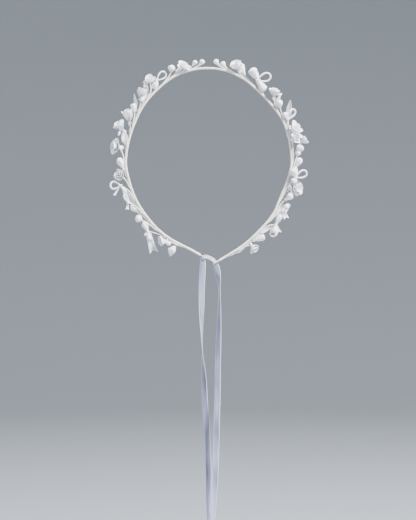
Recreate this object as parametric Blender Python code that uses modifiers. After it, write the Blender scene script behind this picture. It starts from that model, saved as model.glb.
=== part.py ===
"""Bridal flower crown, hanging with its ring upright and its front centre on top.

A springy wire band is bound in floral tape and carries buds, small fabric
flowers, leaves and ribbon bows on short wire stems. Each end of the core wire
is bent back into an eye, and a satin ribbon is threaded through both eyes.

Metres, +Z up. The ring lies in the XZ plane and the crown faces -Y. The origin
is where the crown hangs: the inner face of the band at its front centre.
"""

import math

import bmesh
import bpy
from mathutils import Matrix, Quaternion, Vector
from mathutils.geometry import interpolate_bezier

MM = 0.001
GAP = 0.3 * MM

# Band: a core wire inside a sleeve of floral tape.
BAND_R = 1.25 * MM
BORE_R = 0.85 * MM
CORE_R = 0.55 * MM
BARE_HALF = 9.0
HINGE_GAP = 0.6
BAND_SPACING = 10.0 * MM
LEFT_TAPE_END = 261.0
RIGHT_TAPE_END = 263.0

# Eyes at the two back ends.
EYE_LEG_SPREAD = 2.2
EYE_NECK_SPREAD = 0.75
BINDING_START = 0.6
BINDING_END = 2.6
BINDING_WALL = 0.35 * MM

# Stems and soft pieces.
STEM_R = 0.4 * MM
FOOT_OFFSET = BAND_R + STEM_R + GAP
PETAL_THICK = 0.5 * MM
PETAL_TIP = 1.28
PETAL_NOTCH = 0.72
BOW_THICK = 0.4 * MM
BOW_WIDTH = 2.6 * MM

# Satin ribbon.
RIBBON_WIDTH = 6.0 * MM
RIBBON_THICK = 0.3 * MM
RIBBON_SPACING = 5.0 * MM

# Centreline of the band from its front centre, (x, z) in millimetres.
RIGHT_KNOTS = [
    (10, -0.7), (21.5, -3.5), (38.8, -12.5), (58.4, -30.8), (73.3, -49.5), (80, -66), (83, -84),
    (83.4, -97), (79, -113.8), (72.4, -129), (65, -146), (51.5, -162), (35.4, -176.8), (15.3, -189.7),
    (1.5, -197.5),
]
LEFT_KNOTS = [
    (-10, -0.5), (-20, -2.8), (-34.6, -8.5), (-50, -20.6), (-64.2, -36.6), (-75, -58.7), (-81.2, -82),
    (-81.7, -100.3), (-75, -124.4), (-67, -140), (-53.2, -157.9), (-37.4, -170.7), (-14.4, -182.9),
    (0, -191.5),
]

FRONT_CENTRE = Vector((0.0, 0.0, BAND_R))


def at(x, z, y=0.0):
    """A point given in millimetres from the band's centreline at the front centre."""
    return FRONT_CENTRE + Vector((x, y, z)) * MM


class Route:
    """A smooth curve through a few points, measured along its length."""

    STEPS = 24

    def __init__(self, knots, zero_knot=0):
        points = [Vector(knot) for knot in knots]
        ends = [points[0] * 2 - points[1], *points, points[-1] * 2 - points[-2]]
        self.points = [points[0].copy()]
        zero_index = 0
        for i in range(len(points) - 1):
            for step in range(1, self.STEPS + 1):
                self.points.append(self.between(*ends[i : i + 4], step / self.STEPS))
            if i + 1 == zero_knot:
                zero_index = len(self.points) - 1
        self.lengths = [0.0]
        for a, b in zip(self.points, self.points[1:]):
            self.lengths.append(self.lengths[-1] + (b - a).length)
        zero = self.lengths[zero_index]
        self.lengths = [length - zero for length in self.lengths]

    @staticmethod
    def between(before, a, b, after, t):
        """Catmull-Rom point between a and b."""
        slope_a = (b - before) / 2
        slope_b = (after - a) / 2
        return (
            a * (2 * t**3 - 3 * t**2 + 1)
            + slope_a * (t**3 - 2 * t**2 + t)
            + b * (3 * t**2 - 2 * t**3)
            + slope_b * (t**3 - t**2)
        )

    def place(self, distance):
        """The point and the unit tangent at a distance along the curve."""
        last = len(self.lengths) - 2
        i = next((k for k in range(last) if self.lengths[k + 1] >= distance), last)
        a, b = self.points[i], self.points[i + 1]
        share = (distance - self.lengths[i]) / (self.lengths[i + 1] - self.lengths[i])
        return a.lerp(b, share), (b - a).normalized()

    def run(self, start, end, spacing):
        """Evenly spaced points from one distance to another."""
        count = max(2, round(abs(end - start) / spacing))
        return [self.place(start + (end - start) * k / count)[0] for k in range(count + 1)]


BAND = Route(
    [at(x, z) for x, z in reversed(LEFT_KNOTS)] + [at(0, 0)] + [at(x, z) for x, z in RIGHT_KNOTS],
    zero_knot=len(LEFT_KNOTS),
)


def clear_scene():
    """Empties the scene that the script starts in."""
    for obj in list(bpy.data.objects):
        bpy.data.objects.remove(obj, do_unlink=True)


def new_collection(name):
    """A collection linked to the scene."""
    collection = bpy.data.collections.new(name)
    bpy.context.scene.collection.children.link(collection)
    return collection


def finish(name, colour, roughness, metallic=0.0):
    """A plain Principled material."""
    material = bpy.data.materials.new(name)
    material.use_nodes = True
    shader = material.node_tree.nodes["Principled BSDF"]
    shader.inputs["Base Color"].default_value = (*colour, 1.0)
    shader.inputs["Roughness"].default_value = roughness
    shader.inputs["Metallic"].default_value = metallic
    return material


clear_scene()
CROWN = new_collection("flower_crown")
FINISHES = {
    "floral_tape": finish("floral_tape", (0.83, 0.81, 0.75), 0.8),
    "core_wire": finish("core_wire", (0.55, 0.55, 0.54), 0.4, 1.0),
    "bud_porcelain": finish("bud_porcelain", (0.86, 0.86, 0.90), 0.45),
    "petal_fabric": finish("petal_fabric", (0.86, 0.86, 0.91), 0.75),
    "leaf_fabric": finish("leaf_fabric", (0.80, 0.80, 0.85), 0.7),
    "bow_ribbon": finish("bow_ribbon", (0.87, 0.87, 0.91), 0.55),
    "satin_ribbon": finish("satin_ribbon", (0.72, 0.73, 0.82), 0.35),
}


def pivot(name, position):
    """An empty on a hinge axis, which the pieces of one body hang from."""
    empty = bpy.data.objects.new(name, None)
    empty.location = position
    empty.empty_display_size = 5 * MM
    CROWN.objects.link(empty)
    return empty


PIVOTS = {
    "front": pivot("front_pivot", at(0, 0)),
    "left": pivot("left_flex_pivot", BAND.place(-BARE_HALF * MM)[0]),
    "right": pivot("right_flex_pivot", BAND.place(BARE_HALF * MM)[0]),
}


def add(name, data, body, slot):
    """Links an object whose mesh or curve is in world coordinates, under its body's pivot."""
    obj = bpy.data.objects.new(name, data)
    CROWN.objects.link(obj)
    pivot_point = PIVOTS[body].location
    data.transform(Matrix.Translation(-pivot_point))
    obj.parent = PIVOTS[body]
    obj.data.materials.append(FINISHES[slot])
    if isinstance(data, bpy.types.Mesh):
        data.shade_smooth()
    return obj


def tube_curve(points, radius, radii=None, closed=False, sides=2, caps=True):
    """A round tube along points; radii are shares of the radius at each point."""
    curve = bpy.data.curves.new("tube", "CURVE")
    curve.dimensions = "3D"
    curve.bevel_depth = radius
    curve.bevel_resolution = sides
    curve.use_fill_caps = caps
    spline = curve.splines.new("POLY")
    spline.points.add(len(points) - 1)
    for i, point in enumerate(points):
        spline.points[i].co = (*point, 1.0)
        spline.points[i].radius = radii[i] if radii else 1.0
    spline.use_cyclic_u = closed
    return curve


def ribbon_curve(points, width, thick, tilt):
    """A flat ribbon along points, its width turned by the tilt."""
    curve = tube_curve(points, thick / 2, sides=0)
    curve.extrude = width / 2 - thick / 2
    curve.twist_mode = "MINIMUM"
    for point in curve.splines[0].points:
        point.tilt = tilt
    return curve


def mesh_of(data, placement=None):
    """The welded mesh of a curve, moved by a matrix; the curve is removed."""
    temp = bpy.data.objects.new("temp", data)
    CROWN.objects.link(temp)
    graph = bpy.context.evaluated_depsgraph_get()
    mesh = bpy.data.meshes.new_from_object(temp.evaluated_get(graph))
    bpy.data.objects.remove(temp)
    bpy.data.curves.remove(data)
    bm = bmesh.new()
    bm.from_mesh(mesh)
    bmesh.ops.remove_doubles(bm, verts=bm.verts, dist=1e-6)
    bmesh.ops.recalc_face_normals(bm, faces=bm.faces)
    bm.to_mesh(mesh)
    bm.free()
    mesh.transform(placement or Matrix.Identity(4))
    return mesh


def joined(meshes):
    """One mesh made of overlapping closed meshes by Boolean union."""
    objects = [bpy.data.objects.new("temp", mesh) for mesh in meshes]
    for obj in objects:
        CROWN.objects.link(obj)
    for other in objects[1:]:
        modifier = objects[0].modifiers.new("join", "BOOLEAN")
        modifier.operation = "UNION"
        modifier.solver = "EXACT"
        modifier.object = other
    graph = bpy.context.evaluated_depsgraph_get()
    mesh = bpy.data.meshes.new_from_object(objects[0].evaluated_get(graph))
    for obj in objects:
        bpy.data.objects.remove(obj)
    return mesh


def facing(origin, axis, up=(0.0, 1.0, 0.0)):
    """A placement at origin whose +Z runs along axis and whose +Y leans to up."""
    z = Vector(axis).normalized()
    x = Vector(up).cross(z)
    if x.length < 1e-6:
        x = Vector((1.0, 0.0, 0.0))
    x.normalize()
    y = z.cross(x)
    turn = Matrix((x, y, z)).transposed().to_4x4()
    return Matrix.Translation(origin) @ turn


class Seat:
    """Where a stem leaves the band: the foot, and the ways ahead and outward there."""

    def __init__(self, station, depth):
        point, tangent = BAND.place(station * MM)
        self.ahead = tangent if station < 0 else -tangent
        self.outward = Vector((-tangent.z, 0.0, tangent.x))
        lean = (self.outward + Vector((0.0, depth / 5.0, 0.0))).normalized()
        self.foot = point + lean * FOOT_OFFSET
        self.body = "left" if station < 0 else "right"

    def stem(self, head, count, sweep=0.4):
        """Points from the foot to a head: along the band first, then out to it."""
        reach = (head - self.foot).length
        along = self.foot + self.ahead * reach * sweep
        before = head.lerp(along, 0.35)
        return interpolate_bezier(self.foot, along, before, head, count)


def bud(name, station, tip, radius, length, depth=0.0):
    """A moulded bud on its wire stem, as one tube whose radius swells at the end."""
    seat = Seat(station, depth)
    end = at(tip[0], tip[1], depth)
    stem_count, bulb_count = 3, 6
    path = seat.stem(end, 40)
    start_share = 1.0 - length * MM / sum((b - a).length for a, b in zip(path, path[1:]))
    shares = [start_share * k / stem_count for k in range(stem_count)]
    shares += [start_share + (1 - start_share) * k / bulb_count for k in range(bulb_count + 1)]
    radii = [STEM_R / MM / radius] * (stem_count + 1)
    radii += [max(0.25, math.sin(math.pi * (k / bulb_count) ** 1.25) ** 0.6) for k in range(1, bulb_count)]
    radii.append(0.3)
    points = [path[round(share * 39)] for share in shares]
    add(name, tube_curve(points, radius * MM, radii), seat.body, "bud_porcelain")


def leaf(name, station, tip, width, depth=0.0, side=(0.0, 1.0, 0.0)):
    """A pointed leaf on a short stem, flattened across its side vector."""
    seat = Seat(station, depth)
    end = at(tip[0], tip[1], depth)
    axis = end - seat.foot
    count = 8
    points = [Vector((0.0, 0.0, axis.length * k / count)) for k in range(count + 1)]
    radii = [STEM_R / MM * 2 / width] * 3
    radii += [max(0.12, math.sin(math.pi * (k - 1.6) / (count - 1.4))) for k in range(3, count + 1)]
    flat = Matrix.Diagonal((1.0, 2 * PETAL_THICK / (width * MM), 1.0, 1.0))
    placement = facing(seat.foot, axis, side) @ flat
    add(name, mesh_of(tube_curve(points, width / 2 * MM, radii), placement), seat.body, "leaf_fabric")


def corolla(radius, cup, petals=5):
    """A cupped, lobed petal cup around +Z, its base at the origin."""
    bm = bmesh.new()
    bmesh.ops.create_cone(
        bm, cap_ends=True, segments=2 * petals, radius1=radius * 0.3, radius2=radius, depth=cup
    )
    bmesh.ops.translate(bm, verts=bm.verts, vec=(0.0, 0.0, cup / 2))
    rim = sorted((v for v in bm.verts if v.co.z > cup / 2), key=lambda v: math.atan2(v.co.y, v.co.x))
    for i, vert in enumerate(rim):
        reach = PETAL_TIP if i % 2 else PETAL_NOTCH
        vert.co.x *= reach
        vert.co.y *= reach
    bmesh.ops.delete(bm, geom=[f for f in bm.faces if f.calc_center_median().z > 0.9 * cup], context="FACES_ONLY")
    mesh = bpy.data.meshes.new("corolla")
    bm.to_mesh(mesh)
    bm.free()
    obj = bpy.data.objects.new("temp", mesh)
    CROWN.objects.link(obj)
    smooth = obj.modifiers.new("smooth", "SUBSURF")
    smooth.levels = 1
    smooth.render_levels = 1
    wall = obj.modifiers.new("wall", "SOLIDIFY")
    wall.thickness = PETAL_THICK
    wall.offset = -1.0
    graph = bpy.context.evaluated_depsgraph_get()
    solid = bpy.data.meshes.new_from_object(obj.evaluated_get(graph))
    bpy.data.objects.remove(obj)
    return solid


def flower(name, station, head, radius, faces, cup=0.5, petals=5, depth=0.0):
    """A fabric flower on its stem; faces is (outward, ahead, to the viewer)."""
    seat = Seat(station, depth)
    centre = at(head[0], head[1], depth)
    outward, ahead, viewer = faces
    normal = (seat.outward * outward + seat.ahead * ahead + Vector((0.0, -viewer, 0.0))).normalized()
    base = centre - normal * radius * cup * 0.5 * MM
    cup_mesh = corolla(radius * MM, radius * cup * MM, petals)
    cup_mesh.transform(facing(base, normal))
    calyx = base - normal * 1.6 * MM
    path = seat.stem(calyx, 5) + [base + normal * (0.22 * cup * radius + 0.4) * MM]
    radii = [1.0] * 4 + [1.4, 2.2]
    stem = mesh_of(tube_curve(path, STEM_R, radii, sides=1))
    add(name, joined([cup_mesh, stem]), seat.body, "petal_fabric")


def bow_loop(length, width, turn):
    """A ribbon loop that leaves the origin along +Z and comes back to it."""
    count = 10
    points = []
    for k in range(count + 1):
        angle = 0.55 + (2 * math.pi - 1.1) * k / count
        out = length * (1 - math.cos(angle)) / 2
        across = width / 2 * math.sin(angle) * math.sin(angle / 2) * 1.3
        points.append(Vector((across, 0.0, out)))
    mesh = mesh_of(ribbon_curve(points, BOW_WIDTH, BOW_THICK, math.pi / 2))
    mesh.transform(Matrix.Rotation(math.radians(turn), 4, "Z"))
    return mesh


def bow_tail(length, width):
    """A flat swallow-tailed ribbon end along +Z from the origin."""
    notch = width * 0.45
    outline = [(-0.3 * width, 0), (0.3 * width, 0), (0.5 * width, length), (0, length - notch), (-0.5 * width, length)]
    curve = bpy.data.curves.new("tail", "CURVE")
    curve.dimensions = "2D"
    curve.fill_mode = "BOTH"
    curve.extrude = BOW_THICK / 2
    spline = curve.splines.new("POLY")
    spline.points.add(len(outline) - 1)
    for point, (x, y) in zip(spline.points, outline):
        point.co = (x, y, 0.0, 1.0)
    spline.use_cyclic_u = True
    return mesh_of(curve, Matrix.Rotation(math.pi / 2, 4, "X"))


def knot_ball(centre, radius):
    """The wrapped knot of a bow, as a small round solid."""
    bm = bmesh.new()
    bmesh.ops.create_icosphere(bm, subdivisions=1, radius=radius)
    bmesh.ops.translate(bm, verts=bm.verts, vec=centre)
    mesh = bpy.data.meshes.new("knot")
    bm.to_mesh(mesh)
    bm.free()
    return mesh


def bow(name, station, knot, loops, tails=(), depth=0.0):
    """A ribbon bow wired to the band.

    loops holds (tip, width, turn) and tails (tip, width), with tips in the ring's plane.
    """
    seat = Seat(station, depth)
    centre = at(knot[0], knot[1], depth)
    meshes = [knot_ball(centre, 1.3 * MM)]
    for tip, width, turn in loops:
        axis = at(tip[0], tip[1], depth) - centre
        loop = bow_loop(axis.length, width * MM, turn)
        loop.transform(facing(centre, axis))
        meshes.append(loop)
    for tip, width in tails:
        axis = at(tip[0], tip[1], depth) - centre
        tail = bow_tail(axis.length, width * MM)
        tail.transform(facing(centre, axis))
        meshes.append(tail)
    meshes.append(mesh_of(tube_curve(seat.stem(centre, 5), STEM_R, sides=1)))
    add(name, joined(meshes), seat.body, "bow_ribbon")


def sleeve(name, points, body):
    """A length of floral tape wrapped round the core wire, open at both ends."""
    curve = tube_curve(points, BAND_R, caps=False)
    obj = add(name, curve, body, "floral_tape")
    wall = obj.modifiers.new("wall", "SOLIDIFY")
    wall.thickness = BAND_R - BORE_R
    wall.offset = -1.0


def eye_path(tape_end, side):
    """The wire from the tape's end round the eye and back beside its neck."""
    sign = 1 if side == "right" else -1
    neck, way = BAND.place(sign * tape_end * MM)
    way = way * sign
    across = Vector((0.0, 1.0, 0.0))
    outline = [
        (1.6, EYE_NECK_SPREAD), (3.2, EYE_NECK_SPREAD), (4.4, EYE_LEG_SPREAD - 0.4), (5.6, EYE_LEG_SPREAD),
        (7.6, EYE_LEG_SPREAD), (8.8, EYE_LEG_SPREAD - 0.5), (9.5, 0.0),
    ]
    front_leg = [neck + way * along * MM - across * out * MM for along, out in outline]
    back_leg = [neck + way * along * MM + across * out * MM for along, out in reversed(outline[:-1])]
    return front_leg + back_leg, neck, way


def core(side, tape_end):
    """The core wire of one side, with the eye bent at its back end."""
    sign = 1 if side == "right" else -1
    start = sign * (BARE_HALF + HINGE_GAP / 2) * MM
    run = BAND.run(start, sign * tape_end * MM, BAND_SPACING)
    eye, neck, way = eye_path(tape_end, side)
    add(f"{side}_core_wire", tube_curve(run + eye, CORE_R, sides=1), side, "core_wire")
    binding(side, neck, way)


def binding(side, neck, way):
    """The short oval collar of tape that holds the wire's free end against the neck."""
    count = 12
    ring = []
    for k in range(count):
        angle = 2 * math.pi * k / count
        ring.append((
            (CORE_R + GAP) * math.cos(angle),
            (EYE_NECK_SPREAD * MM + CORE_R + GAP) * math.sin(angle),
        ))
    bm = bmesh.new()
    verts = [bm.verts.new((x, y, BINDING_START * MM)) for x, y in ring]
    edges = [bm.edges.new((verts[k], verts[(k + 1) % count])) for k in range(count)]
    grown = bmesh.ops.extrude_edge_only(bm, edges=edges)["geom"]
    top = [v for v in grown if isinstance(v, bmesh.types.BMVert)]
    bmesh.ops.translate(bm, verts=top, vec=(0.0, 0.0, (BINDING_END - BINDING_START) * MM))
    bmesh.ops.recalc_face_normals(bm, faces=bm.faces)
    mesh = bpy.data.meshes.new("binding")
    bm.to_mesh(mesh)
    bm.free()
    mesh.transform(facing(neck, way))
    obj = add(f"{side}_eye_binding", mesh, side, "floral_tape")
    wall = obj.modifiers.new("wall", "SOLIDIFY")
    wall.thickness = BINDING_WALL
    wall.offset = 1.0


def build_band():
    """The bare front stretch, the two taped sides and the wire inside them."""
    half = (BARE_HALF - HINGE_GAP / 2) * MM
    front_run = BAND.run(-half, half, 5 * MM)
    sleeve("front_band_tape", front_run, "front")
    add("front_core_wire", tube_curve(front_run, CORE_R, sides=1), "front", "core_wire")
    for side, sign, tape_end in (("left", -1, LEFT_TAPE_END), ("right", 1, RIGHT_TAPE_END)):
        start = sign * (BARE_HALF + HINGE_GAP / 2) * MM
        run = BAND.run(start, sign * tape_end * MM, BAND_SPACING)
        sleeve(f"{side}_band_tape", run, side)
        core(side, tape_end)


# The ribbon hangs in two tails; (x, y, z) in millimetres, with the turn of its width in degrees and
# the share of its full width where it is gathered in the eye.
LEFT_TAIL = [
    (-6.0, 0.0, -188.9, 0, 0.55), (-5.2, 0.0, -192.5, 0, 0.85), (-5.4, 0.2, -200, 5, 1.0), (-6.2, 0.8, -218, -10, 1.0),
    (-6.4, 1.2, -233, -24, 1.0), (-6.5, 1.4, -248, -45, 1.0), (-6.2, 1.6, -264, -70, 1.0), (-5.7, 1.8, -282, -92, 1.0),
    (-4.9, 2.0, -296, -115, 1.0), (-3.9, 2.2, -312, -142, 1.0), (-3.2, 2.6, -332, -165, 1.0), (-2.0, 3.2, -350, -175, 1.0),
    (-0.7, 3.8, -372, -180, 1.0), (0.6, 4.2, -405, -183, 1.0), (0.8, 4.6, -430, -200, 1.0), (1.2, 5.0, -455, -215, 1.0),
    (1.2, 5.0, -500, -200, 1.0), (0.6, 5.0, -560, -180, 1.0), (0.2, 5.0, -625, -165, 1.0),
]
RIGHT_TAIL = [
    (8.2, 0.0, -195.1, 0, 0.6), (8.5, 0.0, -198, 10, 0.9), (9.7, -0.2, -204, 25, 1.0), (11.0, -0.6, -214, 60, 1.0),
    (11.3, -1.0, -222, 72, 1.0), (11.4, -1.4, -234, 64, 1.0), (11.2, -1.8, -250, 52, 1.0), (10.8, -2.0, -266, 38, 1.0),
    (10.2, -2.4, -282, 26, 1.0), (9.7, -2.8, -305, 14, 1.0), (9.4, -3.2, -330, 6, 1.0), (8.8, -3.6, -348, 0, 1.0),
    (8.4, -4.0, -368, -4, 1.0), (7.7, -4.4, -392, -16, 1.0), (6.9, -4.8, -420, -36, 1.0), (5.6, -5.0, -452, -60, 1.0),
    (4.6, -5.0, -500, -40, 1.0), (3.8, -5.0, -560, -15, 1.0), (3.4, -5.0, -628, 0, 1.0),
]
CROSSING = [
    (-5.0, 0.0, -187.0), (-3.2, 0.0, -186.2), (-0.6, 0.0, -186.8), (1.6, 0.0, -188.3), (3.8, 0.0, -190.0),
    (5.8, 0.0, -191.7), (7.2, 0.0, -193.4),
]
CROSSING_SHARES = (0.45, 0.6, 0.68, 0.7, 0.68, 0.6, 0.5)


def ribbon_solid(points, width_way, tilts, shares):
    """A flat satin ribbon along points; its width runs along width_way, turned by the tilts.

    Both broad faces are split along the same diagonal, so that the ribbon keeps its
    thickness where it turns.
    """
    bm = bmesh.new()
    rows = []
    for i, point in enumerate(points):
        way = (points[min(i + 1, len(points) - 1)] - points[max(i - 1, 0)]).normalized()
        side = (width_way - way * width_way.dot(way)).normalized()
        side.rotate(Quaternion(way, tilts[i]))
        half = side * (RIBBON_WIDTH / 2 * shares[i])
        lift = way.cross(side) * (RIBBON_THICK / 2)
        corners = (-half - lift, half - lift, half + lift, -half + lift)
        rows.append([bm.verts.new(point + corner) for corner in corners])
    for a, b in zip(rows, rows[1:]):
        for corners in (
            (a[0], a[1], b[1]), (a[0], b[1], b[0]), (a[3], b[2], a[2]), (a[3], b[3], b[2]),
            (a[1], a[2], b[2]), (a[1], b[2], b[1]), (a[3], a[0], b[0]), (a[3], b[0], b[3]),
        ):
            bm.faces.new(corners)
    bm.faces.new(rows[0][::-1])
    bm.faces.new(rows[-1])
    bmesh.ops.recalc_face_normals(bm, faces=bm.faces)
    mesh = bpy.data.meshes.new("ribbon")
    bm.to_mesh(mesh)
    bm.free()
    return mesh


def ribbon_tail(name, stops, body):
    """One hanging tail of the ribbon, turning slowly as it falls."""
    route = Route([at(x, z, y) for x, y, z, _, _ in stops])
    marks = [route.lengths[i * Route.STEPS] for i in range(len(stops))]
    count = round(route.lengths[-1] / RIBBON_SPACING)
    points, tilts, shares = [], [], []
    for k in range(count + 1):
        distance = route.lengths[-1] * k / count
        points.append(route.place(distance)[0])
        i = next((m for m in range(len(marks) - 2) if marks[m + 1] >= distance), len(marks) - 2)
        share = (distance - marks[i]) / (marks[i + 1] - marks[i])
        tilts.append(math.radians(stops[i][3] + (stops[i + 1][3] - stops[i][3]) * share))
        shares.append(stops[i][4] + (stops[i + 1][4] - stops[i][4]) * share)
    add(name, ribbon_solid(points, Vector((1.0, 0.0, 0.0)), tilts, shares), body, "satin_ribbon")


def build_ribbon():
    """The satin ribbon: two tails and the stretch that crosses between the eyes."""
    ribbon_tail("left_ribbon_tail", LEFT_TAIL, "left")
    ribbon_tail("right_ribbon_tail", RIGHT_TAIL, "right")
    points = [at(x, z, y) for x, y, z in CROSSING]
    crossing = ribbon_solid(points, Vector((0.0, 0.0, 1.0)), [0.0] * len(points), CROSSING_SHARES)
    add("ribbon_crossing", crossing, "front", "satin_ribbon")


def build_left_spray():
    """The left spray, from the front centre round to the back."""
    bud("left_01_bud", -13, (-4.5, 8.6), 2.5, 7.5, 1.0)
    bud("left_02_bud", -21, (-11.8, 7.4), 2.3, 6.5, -2.0)
    flower("left_03_flower", -33, (-26.5, 1.6), 6.2, (0.5, 0.9, 0.7), depth=1.5)
    bud("left_04_round_bud", -43, (-36.2, 3.2), 3.4, 7.5, -1.5)
    bow("left_05_bow", -56, (-51, -11.5), [((-42.3, -2.8), 7.5, 10), ((-54.8, -19.5), 5.5, 60)], depth=0.5)
    flower("left_06_rosette", -67, (-58.3, -10.0), 4.9, (0.4, 0.6, 1.0), 0.7, 6, -2.0)
    leaf("left_07_leaf", -76, (-60.5, -16.5), 4.2, 3.0)
    flower("left_08_flower", -83, (-67, -24), 4.0, (0.3, 1.0, 0.3), 1.0, depth=-1.5)
    leaf("left_09_leaf", -88, (-74.2, -24.7), 3.4, 2.5, (0.5, 0.8, 0.0))
    bud("left_10_bud", -96, (-75.2, -35.6), 3.0, 8.0, -1.5)
    flower("left_11_flower", -106, (-80.2, -46.8), 6.2, (0.5, 0.9, 0.3), 1.1, 4, 1.5)
    flower("left_12_flower", -116, (-88.3, -57.4), 5.6, (0.8, 0.7, 0.5), 0.8, depth=-2.5)
    leaf("left_13_leaf", -124, (-84.5, -60.5), 5.5, 3.5)
    flower("left_14_flower", -136, (-91.5, -78.5), 6.8, (1.0, 0.2, 0.8), 0.6, depth=-1.0)
    bud("left_15_teardrop_bud", -151, (-90.0, -89.5), 3.6, 14.0, 1.5)
    flower("left_16_rosette", -161, (-88.5, -106.5), 4.9, (0.6, 0.3, 1.0), 0.7, 6, -1.0)
    bow(
        "left_17_bow", -172, (-87.5, -117.5), [((-98, -115.5), 8.0, 20)],
        [((-93.5, -130.5), 2.6)], depth=-1.5,
    )
    leaf("left_18_leaf", -184, (-85.0, -121.0), 4.4, 3.5)
    bow(
        "left_19_bow", -190, (-80.0, -134.0), [((-83.5, -126.5), 3.4, 30)],
        [((-80.8, -141.8), 3.0)], depth=-2.0,
    )
    bud("left_20_long_bud", -202, (-78.2, -137.4), 3.0, 13.0, 2.5)
    bud("left_21_round_bud", -212, (-72.8, -149.0), 3.7, 8.0, -1.0)
    bow(
        "left_22_bow", -225, (-60.5, -163.0), [((-64.0, -153.5), 8.0, 15)],
        [((-56.5, -184.5), 4.6), ((-50.5, -183.0), 4.6)], depth=1.5,
    )
    flower("left_23_flower", -238, (-45.5, -171.5), 3.6, (0.5, 0.8, 0.5), 0.8, depth=-2.0)
    bud("left_24_bud", -241, (-38.5, -187.5), 2.9, 11.0, 2.5)


def build_right_spray():
    """The right spray, from the front centre round to the back."""
    bud("right_01_bud", 15, (7.0, 8.8), 2.5, 7.5, -1.0)
    bud("right_02_bud", 22, (13.8, 6.6), 2.7, 7.0, 2.0)
    flower("right_03_flower", 34, (26.8, 3.3), 4.8, (0.5, 0.9, 0.6), 0.7, depth=-2.5)
    bud("right_04_rosebud", 45, (31.8, 4.2), 4.0, 11.5, 3.0)
    bow(
        "right_05_bow", 60, (49.5, -12.0), [((44.5, 0.5), 9.0, 60), ((63.0, -4.5), 8.0, 10)],
        [((56.5, -21.5), 7.0)], depth=-1.5,
    )
    leaf("right_06_leaf", 78, (74.5, -24.0), 4.0, 2.5, (0.0, 0.4, 1.0))
    flower("right_07_flower", 83, (65.5, -23.0), 4.2, (0.7, 0.8, 0.4), 0.8, depth=-1.5)
    bud("right_08_round_bud", 95, (70.4, -31.5), 3.6, 8.5, -2.8)
    leaf("right_09_leaf", 102, (82.3, -31.2), 5.4, 2.5, (0.5, 1.0, 0.0))
    bow("right_10_bow", 111, (79.8, -51.0), [((87.5, -41.8), 6.5, 20), ((76.5, -44.0), 4.0, 40)], depth=-1.5)
    flower("right_11_large_flower", 122, (88.5, -60.0), 8.6, (1.0, 0.5, 0.6), 0.5, depth=1.5)
    flower("right_12_flower", 131, (87.0, -70.0), 5.4, (0.8, 0.4, 0.8), 0.6, depth=-3.5)
    flower("right_13_small_flower", 138, (95.0, -72.5), 3.6, (1.0, 0.7, 0.2), 0.7, depth=3.0)
    bud("right_14_round_bud", 148, (93.2, -76.8), 3.8, 9.0, -1.5)
    bud("right_15_long_bud", 157, (93.2, -89.5), 3.4, 12.5, 1.5)
    bow(
        "right_16_bow", 168, (88.0, -109.5), [((98.0, -104.0), 7.0, 15), ((87.0, -99.5), 6.0, 70)],
        depth=-4.5,
    )
    flower("right_17_flower", 175, (87.5, -119.5), 7.6, (0.9, 0.3, 0.8), 0.7, depth=2.0)
    bud("right_18_bud", 188, (84.5, -126.5), 3.4, 9.5, -2.5)
    leaf("right_19_leaf", 194, (82.5, -136.0), 5.6, 4.0)
    bow("right_20_bow", 200, (75.0, -142.0), [((80.5, -136.5), 3.6, 40)], [((78.5, -151.0), 5.0)], depth=-2.0)
    bow(
        "right_21_bow", 211, (67.8, -156.5), [((73.5, -145.0), 6.0, 60)],
        [((64.5, -169.5), 6.0), ((71.5, -165.0), 5.0)], depth=1.5,
    )
    leaf("right_22_leaf", 219, (63.8, -158.5), 3.0, -4.0)
    bud("right_23_broad_bud", 234, (56.6, -167.6), 3.9, 13.0, 2.5)
    flower("right_24_flower", 240, (45.0, -178.5), 4.2, (0.9, 0.1, 0.5), 0.8, depth=-2.5)
    leaf("right_25_leaf", 252, (37.5, -178.5), 2.8, 2.5)


build_band()
build_ribbon()
build_left_spray()
build_right_spray()
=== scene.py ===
"""Bridal flower crown: the finished look of every piece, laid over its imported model.

The crown hangs by its front centre with the ring upright and facing -Y. A springy wire
bound in floral tape carries two sprays of buds, fabric flowers, leaves and small bows,
and a satin ribbon is threaded through the eyes at its two back ends. Lengths in the
fields are millimetres, and the model is in metres with +Z up.
"""

from __future__ import annotations

import logging
import math
from dataclasses import dataclass, field
from enum import Enum
from typing import ClassVar, Sequence

import bpy
import numpy as np
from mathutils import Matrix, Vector, noise


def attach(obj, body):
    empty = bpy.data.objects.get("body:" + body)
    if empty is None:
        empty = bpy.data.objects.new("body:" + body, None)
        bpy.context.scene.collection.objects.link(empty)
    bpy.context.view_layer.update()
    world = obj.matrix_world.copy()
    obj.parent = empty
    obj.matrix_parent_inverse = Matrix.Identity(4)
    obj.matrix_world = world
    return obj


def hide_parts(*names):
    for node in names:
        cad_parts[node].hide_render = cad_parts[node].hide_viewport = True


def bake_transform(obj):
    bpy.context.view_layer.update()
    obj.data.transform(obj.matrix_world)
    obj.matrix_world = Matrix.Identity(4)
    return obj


Array = np.ndarray
Thing = bpy.types.Object
Material = bpy.types.Material
Socket = bpy.types.NodeSocket
Triple = tuple[float, float, float]
Pair = tuple[float, float]
Stops = tuple[tuple[float, ...], ...]
Sheet = tuple[Array, Array]

MM = 0.001
FULL_TURN = 2 * math.pi
TINY = 1e-12
TO_BACK = (0.0, 1.0, 0.0)
LOG = logging.getLogger("flower_crown")

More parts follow.
